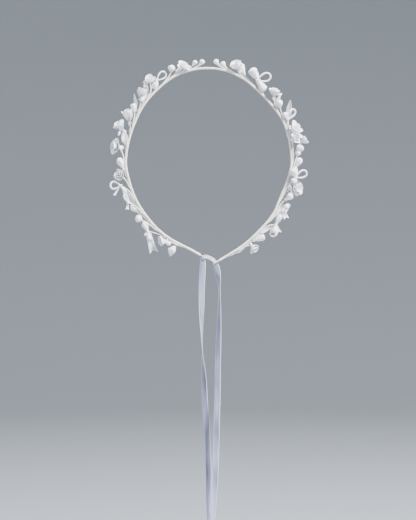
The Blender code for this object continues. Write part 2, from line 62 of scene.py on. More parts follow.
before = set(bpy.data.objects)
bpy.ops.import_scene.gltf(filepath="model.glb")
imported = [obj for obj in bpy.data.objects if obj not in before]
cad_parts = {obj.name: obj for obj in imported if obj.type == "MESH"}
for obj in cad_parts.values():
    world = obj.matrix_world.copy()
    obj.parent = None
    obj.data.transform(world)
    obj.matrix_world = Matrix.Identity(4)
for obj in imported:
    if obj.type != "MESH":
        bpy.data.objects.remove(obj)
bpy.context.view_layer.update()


# ---------------------------------------------------------------- lines and grids


def unit(vector: Sequence[float]) -> Array:
    """A vector's direction, one long."""
    vector = np.asarray(vector, float)
    return vector / max(float(np.linalg.norm(vector)), TINY)


def smooth_line(knots: Array, steps: int) -> Array:
    """A Catmull-Rom line through knots.

    Args:
        knots: The points (or rows of any values) to pass through.
        steps: How many spans each stretch between two knots is cut into.

    Returns:
        The rows of the line, its first and last knots included.
    """
    knots = np.asarray(knots, float)
    padded = np.vstack([2 * knots[0] - knots[1], knots, 2 * knots[-1] - knots[-2]])
    t = (np.arange(steps) / steps)[:, None]
    rows = []
    for before, a, b, after in zip(padded, padded[1:], padded[2:], padded[3:]):
        slope_a, slope_b = (b - before) / 2, (after - a) / 2
        rows.append(
            a * (2 * t**3 - 3 * t**2 + 1) + slope_a * (t**3 - 2 * t**2 + t)
            + b * (3 * t**2 - 2 * t**3) + slope_b * (t**3 - t**2)
        )
    return np.vstack([*rows, knots[-1:]])


def bezier(a: Array, b: Array, c: Array, d: Array, count: int) -> Array:
    """Points along the cubic curve with those four controls."""
    t = np.linspace(0, 1, count)[:, None]
    return a * (1 - t) ** 3 + 3 * b * t * (1 - t) ** 2 + 3 * c * t**2 * (1 - t) + d * t**3


def lengths_along(line: Array) -> Array:
    """The distance of each point from the line's start."""
    return np.concatenate([[0.0], np.cumsum(np.linalg.norm(np.diff(line, axis=0), axis=1))])


def sampled(line: Array, along: Array, marks: float | Array) -> Array:
    """The points of a line at marks, where along gives each of its own points' distance."""
    return np.stack([np.interp(marks, along, line[:, k]) for k in range(line.shape[1])], axis=-1)


def respaced(line: Array, count: int) -> Array:
    """The same line with that many evenly spaced points."""
    along = lengths_along(line)
    return sampled(line, along, np.linspace(0, along[-1], count))


def carried(line: Array, first: Sequence[float]) -> tuple[Array, Array, Array]:
    """Directions carried along a line without needless turning.

    Args:
        line: The points of the line.
        first: The side direction to start from.

    Returns:
        The way ahead, the side and the direction square to both, at each point.
    """
    ways = np.gradient(line, axis=0)
    ways /= np.maximum(np.linalg.norm(ways, axis=1, keepdims=True), TINY)
    sides = np.empty_like(ways)
    side = np.asarray(first, float)
    for i, way in enumerate(ways):
        side = unit(side - way * side.dot(way))
        sides[i] = side
    return ways, sides, np.cross(ways, sides)


def turned(side: Array, way: Array, angle: Array) -> Array:
    """Sides turned about the ways by the angles, in radians."""
    angle = np.asarray(angle)[..., None]
    return side * np.cos(angle) + np.cross(way, side) * np.sin(angle)


def basis(axis: Sequence[float], lean: Sequence[float] = TO_BACK) -> Array:
    """A turned frame.

    Args:
        axis: Its third column.
        lean: Where its second column leans.

    Returns:
        The 3 by 3 matrix.
    """
    z = unit(axis)
    x = unit(np.cross(np.asarray(lean, float), z))
    return np.stack([x, np.cross(z, x), z], axis=1)


def spun(rows: Array, angle: float) -> Array:
    """Rows turned about their own +Z by an angle in radians."""
    c, s = math.cos(angle), math.sin(angle)
    return rows @ np.array([[c, s, 0.0], [-s, c, 0.0], [0.0, 0.0, 1.0]])


def round_angles(count: int) -> Array:
    """Evenly spaced angles once round."""
    return np.linspace(0, FULL_TURN, count, endpoint=False)


def rings(side: Array, up: Array, angles: Array, squash: float = 1.0) -> Array:
    """Rings one in radius, with their middles at the origin; squash flattens them along up."""
    cos, sin = np.cos(angles)[None, :, None], np.sin(angles)[None, :, None]
    return side[:, None] * cos + up[:, None] * sin * squash


def wobble(points: Array, scale: float, seed: float) -> Array:
    """Smooth noise from -1 to 1 at each point; scale is in waves per metre."""
    flat = points.reshape(-1, 3) * scale + seed
    return np.array([noise.noise(Vector(p)) for p in flat]).reshape(points.shape[:-1])


class Skin:
    """Grids of points gathered into one mesh.

    Each point keeps a "lay": how far it is across and along its grid in millimetres,
    and a tone from 0 at a piece's root or fold to 1 at its edge. The finishes use it,
    some to paint shade at roots, folds and tape edges.
    """

    def __init__(self) -> None:
        """Starts with no grids."""
        self.points: list[Array] = []
        self.lays: list[Array] = []
        self.faces: list[tuple[int, ...]] = []
        self.slots: list[int] = []
        self.count = 0

    def grid(
        self, rows: Array, tone: float | Array = 0.5, closed: bool = False, slot: int = 0,
        capped: bool = False,
    ) -> None:
        """Adds a grid.

        Args:
            rows: Points of shape (rows, points in a row, 3).
            tone: The tone of every point, or an array of them.
            closed: Whether each row joins round to its own start.
            slot: Which of the mesh's finishes the grid takes.
            capped: Whether the first and last rows of a closed grid are filled.
        """
        rows = np.asarray(rows, float)
        n, m = rows.shape[:2]
        along = lengths_along(rows.mean(axis=1)) / MM
        spans = np.linalg.norm(np.diff(rows, axis=1), axis=2) / MM
        across = np.concatenate([np.zeros((n, 1)), np.cumsum(spans, axis=1)], axis=1)
        across = across - across[:, -1:] / 2
        lay = np.stack(np.broadcast_arrays(across, along[:, None], tone), axis=2)
        first = self.count
        for i in range(n - 1):
            for j in range(m if closed else m - 1):
                k = (j + 1) % m
                a, b = first + i * m, first + (i + 1) * m
                self.faces.append((a + j, a + k, b + k, b + j))
                self.slots.append(slot)
        if capped:
            self.faces.append(tuple(range(first + m - 1, first - 1, -1)))
            self.faces.append(tuple(range(first + (n - 1) * m, first + n * m)))
            self.slots += [slot, slot]
        self.points.append(rows.reshape(-1, 3))
        self.lays.append(lay.reshape(-1, 3))
        self.count += n * m

    def rod(self, sheet: Sheet, slot: int = 0) -> None:
        """Adds a grid that is closed all round and filled at both ends."""
        self.grid(*sheet, closed=True, slot=slot, capped=True)

    def tube(
        self, line: Array, radii: float | Array, sides: int = 10, slot: int = 0, tone: float = 0.5,
        first: Sequence[float] = TO_BACK, squash: float = 1.0,
    ) -> None:
        """Adds a tube along a line.

        Args:
            line: The points of its centreline.
            radii: Its radius in metres, or one for each point.
            sides: How many points go round it.
            slot: Which of the mesh's finishes it takes.
            tone: Its tone.
            first: The direction of its first side point.
            squash: How deep it is across its side direction, as a share of its width.
        """
        _, side, up = carried(line, first)
        wide = np.broadcast_to(radii, (len(line),))[:, None, None]
        self.rod((line[:, None] + rings(side, up, round_angles(sides), squash) * wide, tone), slot)

    def ball(
        self, centre: Array, radius: float, axis: Sequence[float], slot: int = 0, tall: float = 1.0
    ) -> None:
        """Adds a small oval bead; tall is its length along axis as a share of its width."""
        marks = np.linspace(0.08, math.pi - 0.08, 7)
        line = centre + np.outer(-np.cos(marks), unit(axis)) * radius * tall
        self.tube(line, radius * np.sin(marks), 8, slot, tone=0.9)

    def make(self, name: str, finishes: Sequence[Material], thickness: float = 0.0, rounds: int = 0) -> Thing:
        """Makes the object.

        Args:
            name: The object's name.
            finishes: Its materials, in the order of the slots.
            thickness: The cloth's thickness in millimetres, for open grids.
            rounds: How many times the surface is subdivided.

        Returns:
            The object, linked to the scene and smooth shaded.
        """
        mesh = bpy.data.meshes.new(name)
        mesh.from_pydata(np.vstack(self.points).tolist(), [], self.faces)
        lay = mesh.attributes.new("lay", "FLOAT_VECTOR", "POINT")
        lay.data.foreach_set("vector", np.vstack(self.lays).astype(np.float32).ravel())
        for finish in finishes:
            mesh.materials.append(finish)
        mesh.polygons.foreach_set("material_index", self.slots)
        mesh.shade_smooth()
        obj = bpy.data.objects.new(name, mesh)
        bpy.context.scene.collection.objects.link(obj)
        if thickness:
            cloth = obj.modifiers.new("thickness", "SOLIDIFY")
            cloth.thickness = thickness * MM
            cloth.offset = 0.0
        if rounds:
            soft = obj.modifiers.new("softness", "SUBSURF")
            soft.levels = soft.render_levels = rounds
        return obj


def dressed(obj: Thing, slot: str, *nodes: str) -> Thing:
    """Hides the CAD nodes that a piece stands for."""
    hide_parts(*nodes)
    return obj


def joined_to(obj: Thing, body: str, slot: str, *nodes: str) -> Thing:
    """Rides a piece on a CAD body, in place of those CAD nodes."""
    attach(obj, body)
    return dressed(obj, slot, *nodes)


# ---------------------------------------------------------------- finishes


class Graph:
    """A material's node graph, built a node at a time."""

    sheen_roughness = 0.45
    coat_roughness = 0.35
    relief = 0.6
    glow_reach = (0.0012, 0.0012, 0.0014)

    def __init__(self, name: str) -> None:
        """Starts from a plain Principled material."""
        self.material = bpy.data.materials.new(name)
        self.material.use_nodes = True
        self.tree = self.material.node_tree
        self.shader = self.tree.nodes["Principled BSDF"]
        self.lay = self.add("ShaderNodeAttribute", attribute_name="lay").outputs["Vector"]
        split = self.add("ShaderNodeSeparateXYZ", {0: self.lay})
        self.across, self.along, self.tone = split.outputs

    def add(self, kind: str, feeds: dict | None = None, **settings: object) -> bpy.types.Node:
        """Adds a node.

        Args:
            kind: Blender's name for the node's type.
            feeds: Its inputs by name or number; each a value or another node's output.
            settings: Its other properties.

        Returns:
            The node.
        """
        node = self.tree.nodes.new(kind)
        for key, value in settings.items():
            setattr(node, key, value)
        for key, value in (feeds or {}).items():
            if isinstance(value, Socket):
                self.tree.links.new(value, node.inputs[key])
            else:
                node.inputs[key].default_value = value
        return node

    def math(self, operation: str, a: object, b: object = 0.0) -> Socket:
        """The result of a math node."""
        return self.add("ShaderNodeMath", {0: a, 1: b}, operation=operation).outputs[0]

    def plus(self, a: object, b: object) -> Socket:
        """The sum of two values."""
        return self.math("ADD", a, b)

    def times(self, a: object, b: object) -> Socket:
        """The product of two values."""
        return self.math("MULTIPLY", a, b)

    def cloud(self, scale: float, detail: float = 3.0, stretch: Pair | None = None) -> Socket:
        """Soft noise over the object, or over its lay where it is stretched.

        Args:
            scale: Waves in a metre, or in a millimetre of lay.
            detail: Octaves of finer noise.
            stretch: How much the lay is scaled across and along, if the noise follows it.

        Returns:
            The noise, from 0 to 1.
        """
        if stretch:
            place = self.add("ShaderNodeMapping", {"Vector": self.lay, "Scale": (*stretch, 0.0)}).outputs[0]
        else:
            place = self.add("ShaderNodeTexCoord").outputs["Object"]
        texture = self.add("ShaderNodeTexNoise", {"Vector": place, "Scale": scale, "Detail": detail})
        return texture.outputs["Fac"]

    def stripes(self, distance: Socket, pitch: float) -> Socket:
        """Even ridges from 0 to 1 over a distance in millimetres; pitch is from ridge to ridge."""
        return self.plus(self.times(self.math("SINE", self.times(distance, FULL_TURN / pitch)), 0.5), 0.5)

    def weave(self, pitch: float) -> Socket:
        """Threads across and along the piece."""
        return self.times(self.stripes(self.across, pitch), self.stripes(self.along, pitch))

    def blend(self, factor: Socket, a: Triple | Socket, b: Triple | Socket) -> Socket:
        """A colour between a and b."""
        a, b = (colour if isinstance(colour, Socket) else (*colour, 1.0) for colour in (a, b))
        return self.add("ShaderNodeMix", {0: factor, 6: a, 7: b}, data_type="RGBA").outputs[2]

    def ranged(self, value: Socket, low: float, high: float, floor: float = 0.0, top: float = 1.0) -> Socket:
        """The value spread from floor..top onto low..high and kept there."""
        feeds = {"Value": value, "From Min": floor, "From Max": top, "To Min": low, "To Max": high}
        return self.add("ShaderNodeMapRange", feeds).outputs[0]

    def wear(self, colour: Socket, roughness: Socket, height: Socket, depth: float) -> Material:
        """Joins the look to the shader.

        Args:
            colour: The surface colour.
            roughness: The roughness.
            height: The relief, from 0 to 1.
            depth: How high the relief stands at 1, in metres.

        Returns:
            The finished material.
        """
        bump = self.add("ShaderNodeBump", {"Height": height, "Distance": depth, "Strength": self.relief})
        feeds = {"Base Color": colour, "Roughness": roughness, "Normal": bump.outputs[0]}
        for name, socket in feeds.items():
            self.tree.links.new(socket, self.shader.inputs[name])
        return self.material

    def soften(self, sheen: float = 0.0, through: float = 0.0, coat: float = 0.0) -> None:
        """Sets what is the same all over.

        Args:
            sheen: The sheen.
            through: How much light is let through.
            coat: The coat of glaze.
        """
        values = {
            "Sheen Weight": sheen, "Sheen Roughness": self.sheen_roughness, "Subsurface Weight": through,
            "Subsurface Radius": self.glow_reach, "Subsurface Scale": 1.0, "Coat Weight": coat,
            "Coat Roughness": self.coat_roughness,
        }
        for name, value in values.items():
            self.shader.inputs[name].default_value = value


def shaded(colour: Triple, share: float) -> Triple:
    """The colour with only a share of its light."""
    return tuple(share * value for value in colour)


@dataclass(frozen=True)
class TapeFinish:
    """Crepe floral tape: waxy, finely creased, with painted shade along each turn's edge, where it overlaps
    the turn before.
    """

    name: str = "floral_tape_crepe"
    colour: Triple = (0.80, 0.775, 0.70)
    # The darker colour painted as shade along each turn's edge.
    fold: Triple = (0.52, 0.50, 0.45)
    crease_pitch: float = 0.55

    def material(self) -> Material:
        """Builds the material."""
        g = Graph(self.name)
        patch = g.ranged(g.cloud(160.0, 4.0), 0.0, 1.0, 0.35, 0.7)
        worn = g.blend(patch, self.colour, shaded(self.colour, 0.82))
        # Painted shade: the darker colour where the tone is low, along the step at each turn's edge.
        colour = g.blend(g.ranged(g.tone, 1.0, 0.0, 0.0, 0.22), worn, self.fold)
        drift = g.times(g.cloud(0.9, 2.0, (1.0, 0.4)), 1.2)
        crease = g.stripes(g.plus(g.along, drift), self.crease_pitch)
        g.soften(sheen=0.15, through=0.05)
        return g.wear(colour, g.ranged(patch, 0.58, 0.8), g.plus(crease, g.cloud(2400.0, 2.0)), 0.00003)


@dataclass(frozen=True)
class PetalFinish:
    """Stiffened petal cloth: a fine weave, pale at the rim, with painted shade, darker and bluer, towards the
    root.
    """

    name: str = "petal_cloth"
    rim: Triple = (0.93, 0.93, 0.96)
    # The darker, bluer colour painted as shade at the petal's root, where the petals crowd together.
    root: Triple = (0.66, 0.66, 0.77)
    weave_pitch: float = 0.32
    vein_pitch: float = 0.9

    def material(self) -> Material:
        """Builds the material."""
        g = Graph(self.name)
        patch = g.ranged(g.cloud(420.0), -0.14, 0.14, 0.3, 0.7)
        # Painted shade: darker and bluer from the rim towards the root.
        colour = g.blend(g.plus(g.ranged(g.tone, 0.0, 1.0, 0.05, 0.75), patch), self.root, self.rim)
        vein = g.stripes(g.plus(g.across, g.cloud(0.5, 2.0, (1.0, 0.3))), self.vein_pitch)
        veined = g.blend(g.ranged(vein, 0.0, 0.12, 0.55, 1.0), colour, self.root)
        height = g.plus(g.weave(self.weave_pitch), g.times(vein, 0.8))
        g.soften(sheen=0.25, through=0.12)
        return g.wear(veined, g.ranged(g.cloud(700.0), 0.6, 0.8), height, 0.00005)


@dataclass(frozen=True)
class BudFinish:
    """Air-dried bud paste: smooth and chalky, with a soft gloss on the crown and painted shade along each
    rolled petal's edge, deepest towards the base.
    """

    name: str = "bud_paste"
    crown: Triple = (0.93, 0.93, 0.96)
    # The darker colour painted as shade along the rolled petals' edges; it is also the dark side of the
    # random mottling.
    fold: Triple = (0.50, 0.50, 0.60)
    ridge_pitch: float = 0.7

    def material(self) -> Material:
        """Builds the material."""
        g = Graph(self.name)
        mottled = g.blend(g.ranged(g.cloud(620.0, 4.0), 0.0, 0.5, 0.45, 0.62), self.crown, self.fold)
        # Painted shade: the darker colour where the tone is low, along each rolled petal's edge and towards
        # the bud's base.
        colour = g.blend(g.ranged(g.tone, 0.0, 1.0, 0.0, 0.5), self.fold, mottled)
        height = g.plus(g.cloud(900.0, 3.0), g.times(g.stripes(g.across, self.ridge_pitch), 0.2))
        g.soften(sheen=0.1, through=0.15, coat=0.12)
        return g.wear(colour, g.ranged(g.cloud(380.0), 0.38, 0.58, 0.3, 0.7), height, 0.00016)


@dataclass(frozen=True)
class LeafFinish:
    """Starched leaf cloth, with a midrib, side veins and a sheerer blade."""

    name: str = "leaf_cloth"
    blade: Triple = (0.84, 0.84, 0.89)
    rib: Triple = (0.95, 0.95, 0.97)
    vein_pitch: float = 1.6
    weave_pitch: float = 0.3

    def material(self) -> Material:
        """Builds the material."""
        g = Graph(self.name)
        aside = g.math("ABSOLUTE", g.across)
        vein = g.stripes(g.plus(g.along, g.times(aside, -1.3)), self.vein_pitch)
        midrib = g.ranged(aside, 1.0, 0.0, 0.0, 0.35)
        lines = g.math("MAXIMUM", g.ranged(vein, 0.0, 0.6, 0.7, 1.0), midrib)
        patch = g.ranged(g.cloud(350.0), 0.0, 0.35, 0.35, 0.65)
        base = g.blend(patch, self.blade, shaded(self.blade, 0.8))
        edge = g.ranged(g.tone, 0.0, 0.7, 0.8, 1.0)
        colour = g.blend(g.math("MAXIMUM", lines, edge), base, self.rib)
        height = g.plus(g.times(lines, 1.5), g.weave(self.weave_pitch))
        g.soften(sheen=0.3, through=0.1)
        return g.wear(colour, g.ranged(g.cloud(600.0), 0.55, 0.75), height, 0.00006)


@dataclass(frozen=True)
class BowFinish:
    """Narrow grosgrain bow ribbon: cross ribs between two woven edges."""

    name: str = "bow_grosgrain"
    face: Triple = (0.91, 0.91, 0.95)
    groove: Triple = (0.68, 0.68, 0.77)
    rib_pitch: float = 0.5
    thread_pitch: float = 0.26

    def material(self) -> Material:
        """Builds the material."""
        g = Graph(self.name)
        rib = g.stripes(g.along, self.rib_pitch)
        face = g.blend(g.ranged(g.cloud(300.0), 0.0, 0.25, 0.35, 0.7), self.face, self.groove)
        ribbed = g.blend(g.ranged(rib, 0.35, 0.0, 0.0, 0.5), face, self.groove)
        colour = g.blend(g.ranged(g.tone, 0.7, 0.0, 0.0, 0.25), ribbed, self.groove)
        height = g.plus(rib, g.times(g.stripes(g.across, self.thread_pitch), 0.3))
        g.soften(sheen=0.3, through=0.08)
        return g.wear(colour, g.ranged(g.cloud(500.0), 0.45, 0.65), height, 0.00006)


@dataclass(frozen=True)
class SatinFinish:
    """Single-face satin ribbon: long floats, a soft lustre and firm woven edges; its lustre is painted as
    pale sheen streaks over darker painted shade, with more painted shade drifting along its length.
    """

    name: str = "satin_ribbon_painted_shade"
    # The two streak colours are painted light: the paler one is painted sheen, the darker one painted shade.
    painted_sheen: Triple = (0.40, 0.40, 0.58)
    painted_shade: Triple = (0.11, 0.11, 0.19)
    edge: Triple = (0.70, 0.70, 0.86)
    float_pitch: float = 0.22
    pick_pitch: float = 0.4

    def material(self) -> Material:
        """Builds the material."""
        g = Graph(self.name)
        # Lengthwise streaks of painted sheen, which also vary the roughness.
        sheen_streak = g.cloud(1.0, 3.0, (2.2, 0.045))
        pale = g.blend(g.ranged(sheen_streak, 0.0, 1.0, 0.3, 0.7), self.painted_shade, self.painted_sheen)
        edge = g.ranged(g.math("ABSOLUTE", g.math("SUBTRACT", g.tone, 0.5)), 0.0, 0.8, 0.40, 0.48)
        # Painted shade that drifts slowly along the ribbon's length.
        shade_drift = g.ranged(g.cloud(1.0, 1.0, (0.06, 0.022)), 0.0, 0.75, 0.4, 0.62)
        colour = g.blend(edge, g.blend(shade_drift, pale, self.painted_shade), self.edge)
        floats = g.times(g.stripes(g.across, self.float_pitch), 0.4)
        picks = g.times(g.stripes(g.along, self.pick_pitch), 0.25)
        height = g.plus(g.plus(floats, picks), g.times(edge, 1.5))
        g.soften(sheen=0.4, through=0.05)
        return g.wear(colour, g.ranged(sheen_streak, 0.30, 0.46, 0.3, 0.7), height, 0.00003)


@dataclass(frozen=True)
class WireFinish:
    """Cotton-covered florist's wire: fine thread turns over steel."""

    name: str = "covered_wire"
    thread: Triple = (0.74, 0.72, 0.66)
    gap: Triple = (0.42, 0.41, 0.38)
    turn_pitch: float = 0.35

    def material(self) -> Material:
        """Builds the material."""
        g = Graph(self.name)
        turn = g.stripes(g.plus(g.along, g.times(g.across, 0.1)), self.turn_pitch)
        colour = g.blend(g.ranged(turn, 0.0, 1.0, 0.1, 0.6), self.gap, self.thread)
        g.soften(sheen=0.2)
        return g.wear(colour, g.ranged(g.cloud(900.0), 0.5, 0.7), turn, 0.00006)


@dataclass(frozen=True)
class PearlFinish:
    """Stamen tips: glazed beads on stiff thread."""

    name: str = "stamen_bead"
    bead: Triple = (0.92, 0.91, 0.90)
    speck: Triple = (0.80, 0.77, 0.70)

    def material(self) -> Material:
        """Builds the material."""
        g = Graph(self.name)
        speck = g.ranged(g.cloud(1500.0), 0.0, 1.0, 0.52, 0.6)
        g.soften(through=0.1, coat=0.4)
        colour, rough = g.blend(speck, self.bead, self.speck), g.ranged(speck, 0.25, 0.5)
        return g.wear(colour, rough, g.cloud(2600.0), 0.00003)


@dataclass(frozen=True)
class StageFinish:
    """Plain painted studio floor."""

    name: str = "studio_floor"
    paint: Triple = (0.31, 0.34, 0.38)

    def material(self) -> Material:
        """Builds the material."""
        g = Graph(self.name)
        cloud = g.cloud(3.0, 2.0)
        colour = g.blend(g.ranged(cloud, 0.0, 0.06), self.paint, shaded(self.paint, 0.9))
        return g.wear(colour, g.ranged(cloud, 0.85, 0.95), g.cloud(40.0), 0.0001)


class Palette:
    """Every finish, built once and shared by the pieces."""

    def __init__(self) -> None:
        """Builds the materials."""
        self.tape = TapeFinish().material()
        self.petal = PetalFinish().material()
        self.bud = BudFinish().material()
        self.leaf = LeafFinish().material()
        self.sheer = LeafFinish("sheer_leaf_cloth", (0.55, 0.56, 0.64), (0.80, 0.80, 0.86)).material()
        self.bow = BowFinish().material()
        # Two copies of one satin: the tails' copy is painted darker as shade, and the crossing's copy is
        # painted lighter as light.
        self.satin = SatinFinish().material()
        fold = (0.86, 0.86, 0.93), (0.50, 0.50, 0.62), (0.93, 0.93, 0.97)
        self.satin_painted_light = SatinFinish("satin_ribbon_painted_light", *fold).material()
        self.wire = WireFinish().material()
        self.pearl = PearlFinish().material()
        self.studio = StageFinish().material()


# ---------------------------------------------------------------- the band and its seats


def corners_of(node: str) -> Array:
    """A CAD node's own points, each once, in metres."""
    points = np.array([v.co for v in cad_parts[node].data.vertices], float)
    return np.unique(points.round(6), axis=0)


@dataclass
class BandLine:
    """The centreline of the band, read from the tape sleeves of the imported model."""

    sleeves: tuple[str, ...] = ("left_band_tape", "front_band_tape", "right_band_tape")
    ring_reach: float = 3.0
    middle_height: float = -95.0
    steps: int = 12
    points: Array = field(init=False)
    along: Array = field(init=False)

    def __post_init__(self) -> None:
        """Finds the centre of each ring of points, orders them round the crown and joins them."""
        left = np.vstack([corners_of(sleeve) for sleeve in self.sleeves])
        centres = []
        while len(left):
            near = np.linalg.norm(left - left[0], axis=1) < self.ring_reach * MM
            centres.append(left[near].mean(axis=0))
            left = left[~near]
        centres = np.array(centres)
        middle = self.middle_height * MM
        order = np.argsort(np.arctan2(centres[:, 0], centres[:, 2] - middle))
        self.points = smooth_line(centres[order], self.steps)
        along = lengths_along(self.points) / MM
        top = int(np.argmin(np.where(self.points[:, 2] > middle, np.abs(self.points[:, 0]), 1.0)))
        self.along = along - along[top]

    def place(self, station: float) -> tuple[Array, Array]:
        """A place on the band.

        Args:
            station: The distance along it from its front centre.

        Returns:
            The point, and the way along the band there.
        """
        i = int(np.clip(np.searchsorted(self.along, station), 2, len(self.along) - 3))
        return sampled(self.points, self.along, station), unit(self.points[i + 2] - self.points[i - 2])

    def stretch(self, start: float, end: float, spacing: float) -> Array:
        """Evenly spaced points from one station to another."""
        stations = np.linspace(start, end, max(2, round(abs(end - start) / spacing) + 1))
        return sampled(self.points, self.along, stations)

    def end(self, side: str) -> float:
        """The station of the tape's end on that side."""
        return float(self.along[0 if side == "left" else -1])


@dataclass
class Perch:
    """Where a sprig leaves the band, found from its CAD node.

    Attributes:
        node: The CAD node.
        station: Its place along the band.
        line: The band's centreline.
        offset: How far the middle of a foot stands from the centreline.
        reach: How near to each other the foot's own points lie.
        sweep: How far a stem follows the band, as a share of its length.
        lead: The stem's way out from under the tape, each (distance back, share of the offset).
    """

    node: str
    station: float
    line: BandLine
    offset: float = 1.95
    reach: float = 0.9
    sweep: float = 0.4
    lead: tuple[Pair, ...] = ((9.0, 0.1), (5.5, 0.4), (2.5, 0.75))
    foot: Array = field(init=False)
    ahead: Array = field(init=False)
    outward: Array = field(init=False)

    def __post_init__(self) -> None:
        """Reads the foot from the points of the node next to the band."""
        point, way = self.line.place(self.station)
        self.ahead = way if self.station < 0 else -way
        self.outward = np.array([-way[2], 0.0, way[0]])
        points = corners_of(self.node)
        seat = point + self.outward * self.offset * MM
        nearest = points[np.argmin(np.linalg.norm(points - seat, axis=1))]
        self.foot = points[np.linalg.norm(points - nearest, axis=1) < self.reach * MM].mean(axis=0)

    @property
    def body(self) -> str:
        """The CAD body that the sprig moves with."""
        return "left_side" if self.station < 0 else "right_side"

    def stem(self, head: Array, count: int = 14) -> Array:
        """The line of a stem from under the band's tape, along the band and out to a head.

        Args:
            head: Where it ends.
            count: How many points its free length has.

        Returns:
            Its points.
        """
        along = self.foot + self.ahead * float(np.linalg.norm(head - self.foot)) * self.sweep
        curve = bezier(self.foot, along, head + (along - head) * 0.35, head, count)
        seat, _ = self.line.place(self.station)
        depth = (self.foot - seat) * TO_BACK
        lead = []
        for back, share in self.lead:
            point, way = self.line.place(self.station + math.copysign(back, self.station))
            out = unit([-way[2], 0.0, way[0]]) * self.offset * MM * 0.75
            lead.append(point + (out + depth) * share)
        return np.vstack([lead, curve])


@dataclass
class Band:
    """The wire band's skin of floral tape, wound on from both ends towards the front."""

    radius: float = 1.08
    swell: float = 0.15
    crease: float = 0.03
    wrap_pitch: float = 5.2
    wrap_step: float = 0.10
    drift: float = 1.4
    spacing: float = 0.55
    sides: int = 18
    hinge_reach: float = 4.0
    hinge: float = 9.0

    def build(self, line: BandLine, palette: Palette) -> list[Thing]:
        """Builds one taped length for each side, from the front centre to that side's end.

        Args:
            line: The band's centreline.
            palette: The finishes.

        Returns:
            The two lengths.
        """
        made = []
        for side, sign in (("left", -1.0), ("right", 1.0)):
            skin = Skin()
            skin.rod(self.wound(line.stretch(0.0, line.end(side), self.spacing)))
            obj = skin.make(f"{side}_taped_band", [palette.tape])
            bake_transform(obj)
            made.append(dressed(obj, "floral_tape", f"{side}_band_tape", "front_band_tape"))
        return made

    def wound(self, run: Array) -> Sheet:
        """A band's surface with the steps of its overlapping tape.

        Args:
            run: The centreline.

        Returns:
            The rows of points, and a tone that falls at each tape edge.
        """
        _, side, up = carried(run, TO_BACK)
        angles = round_angles(self.sides)
        along = lengths_along(run)[:, None] / MM
        turn = (along + wobble(run, 28.0, 3.7)[:, None] * self.drift) / self.wrap_pitch + angles / FULL_TURN
        saw = turn - np.floor(turn)
        lumps = wobble(run, 60.0, 1.3)[:, None] * self.swell
        crease = np.cos(3 * angles + along * 0.35) * self.crease
        radii = (self.radius + lumps + crease - self.wrap_step * (saw - 0.5)) * MM
        return run[:, None] + rings(side, up, angles) * radii[..., None], np.minimum(saw, 1 - saw) * 2


@dataclass
class BackEnd:
    """One back end of the band: the covered wire bent into an eye, and its taped collar."""

    side: str
    wire_radius: float = 0.55
    neck_spread: float = 0.75
    leg_spread: float = 2.2
    collar_from: float = -0.8
    collar_to: float = 3.1
    collar_pad: float = 0.5
    collar_turn: float = 0.8
    tuck: float = 6.0

    def build(self, line: BandLine, palette: Palette) -> list[Thing]:
        """Builds the eye and its collar.

        Args:
            line: The band's centreline.
            palette: The finishes.

        Returns:
            Both pieces.
        """
        neck, way = line.place(line.end(self.side))
        way = -way if self.side == "left" else way
        body = f"{self.side}_side"
        eye = self.eye(neck, way).make(f"{self.side}_wire_eye", [palette.wire])
        collar = self.collar(neck, way).make(f"{self.side}_eye_collar", [palette.tape])
        return [
            joined_to(eye, body, "core_wire", f"{self.side}_core_wire"),
            joined_to(collar, body, "floral_tape", f"{self.side}_eye_binding"),
        ]

    def eye(self, neck: Array, way: Array) -> Skin:
        """The wire from inside the tape, round the eye and back beside its neck.

        Args:
            neck: The point at the tape's end.
            way: The way on from it.

        Returns:
            The wire's surface.
        """
        leg = self.leg_spread
        outline = [
            (-self.tuck, 0.0), (0.0, 0.1), (1.6, self.neck_spread), (3.2, self.neck_spread), (4.4, leg - 0.4),
            (5.6, leg), (7.6, leg), (8.8, leg - 0.5), (9.5, 0.0),
        ]
        across = np.array(TO_BACK)
        front = [neck + (way * a - across * o) * MM for a, o in outline]
        back = [neck + (way * a + across * o) * MM for a, o in reversed(outline[2:-1])]
        wire = smooth_line(np.array(front + back), 8)
        skin = Skin()
        skin.tube(wire, self.wire_radius * MM * (1 + 0.05 * wobble(wire, 900.0, 2.0)), 12, first=way)
        return skin

    def collar(self, neck: Array, way: Array) -> Skin:
        """The oval collar of tape that holds the wire's free end; neck and way as for the eye."""
        marks = np.linspace(self.collar_from, self.collar_to, 26)
        swell = np.sin(np.linspace(0.25, math.pi - 0.25, len(marks))) ** 0.5
        ridges = 1 + 0.07 * np.sin(marks * FULL_TURN / self.collar_turn)
        width = (self.neck_spread + self.wire_radius + self.collar_pad) * MM * swell * ridges
        skin = Skin()
        skin.tube(neck + way * marks[:, None] * MM, width, 18, tone=0.4, squash=0.66)
        return skin


# ---------------------------------------------------------------- the satin ribbon


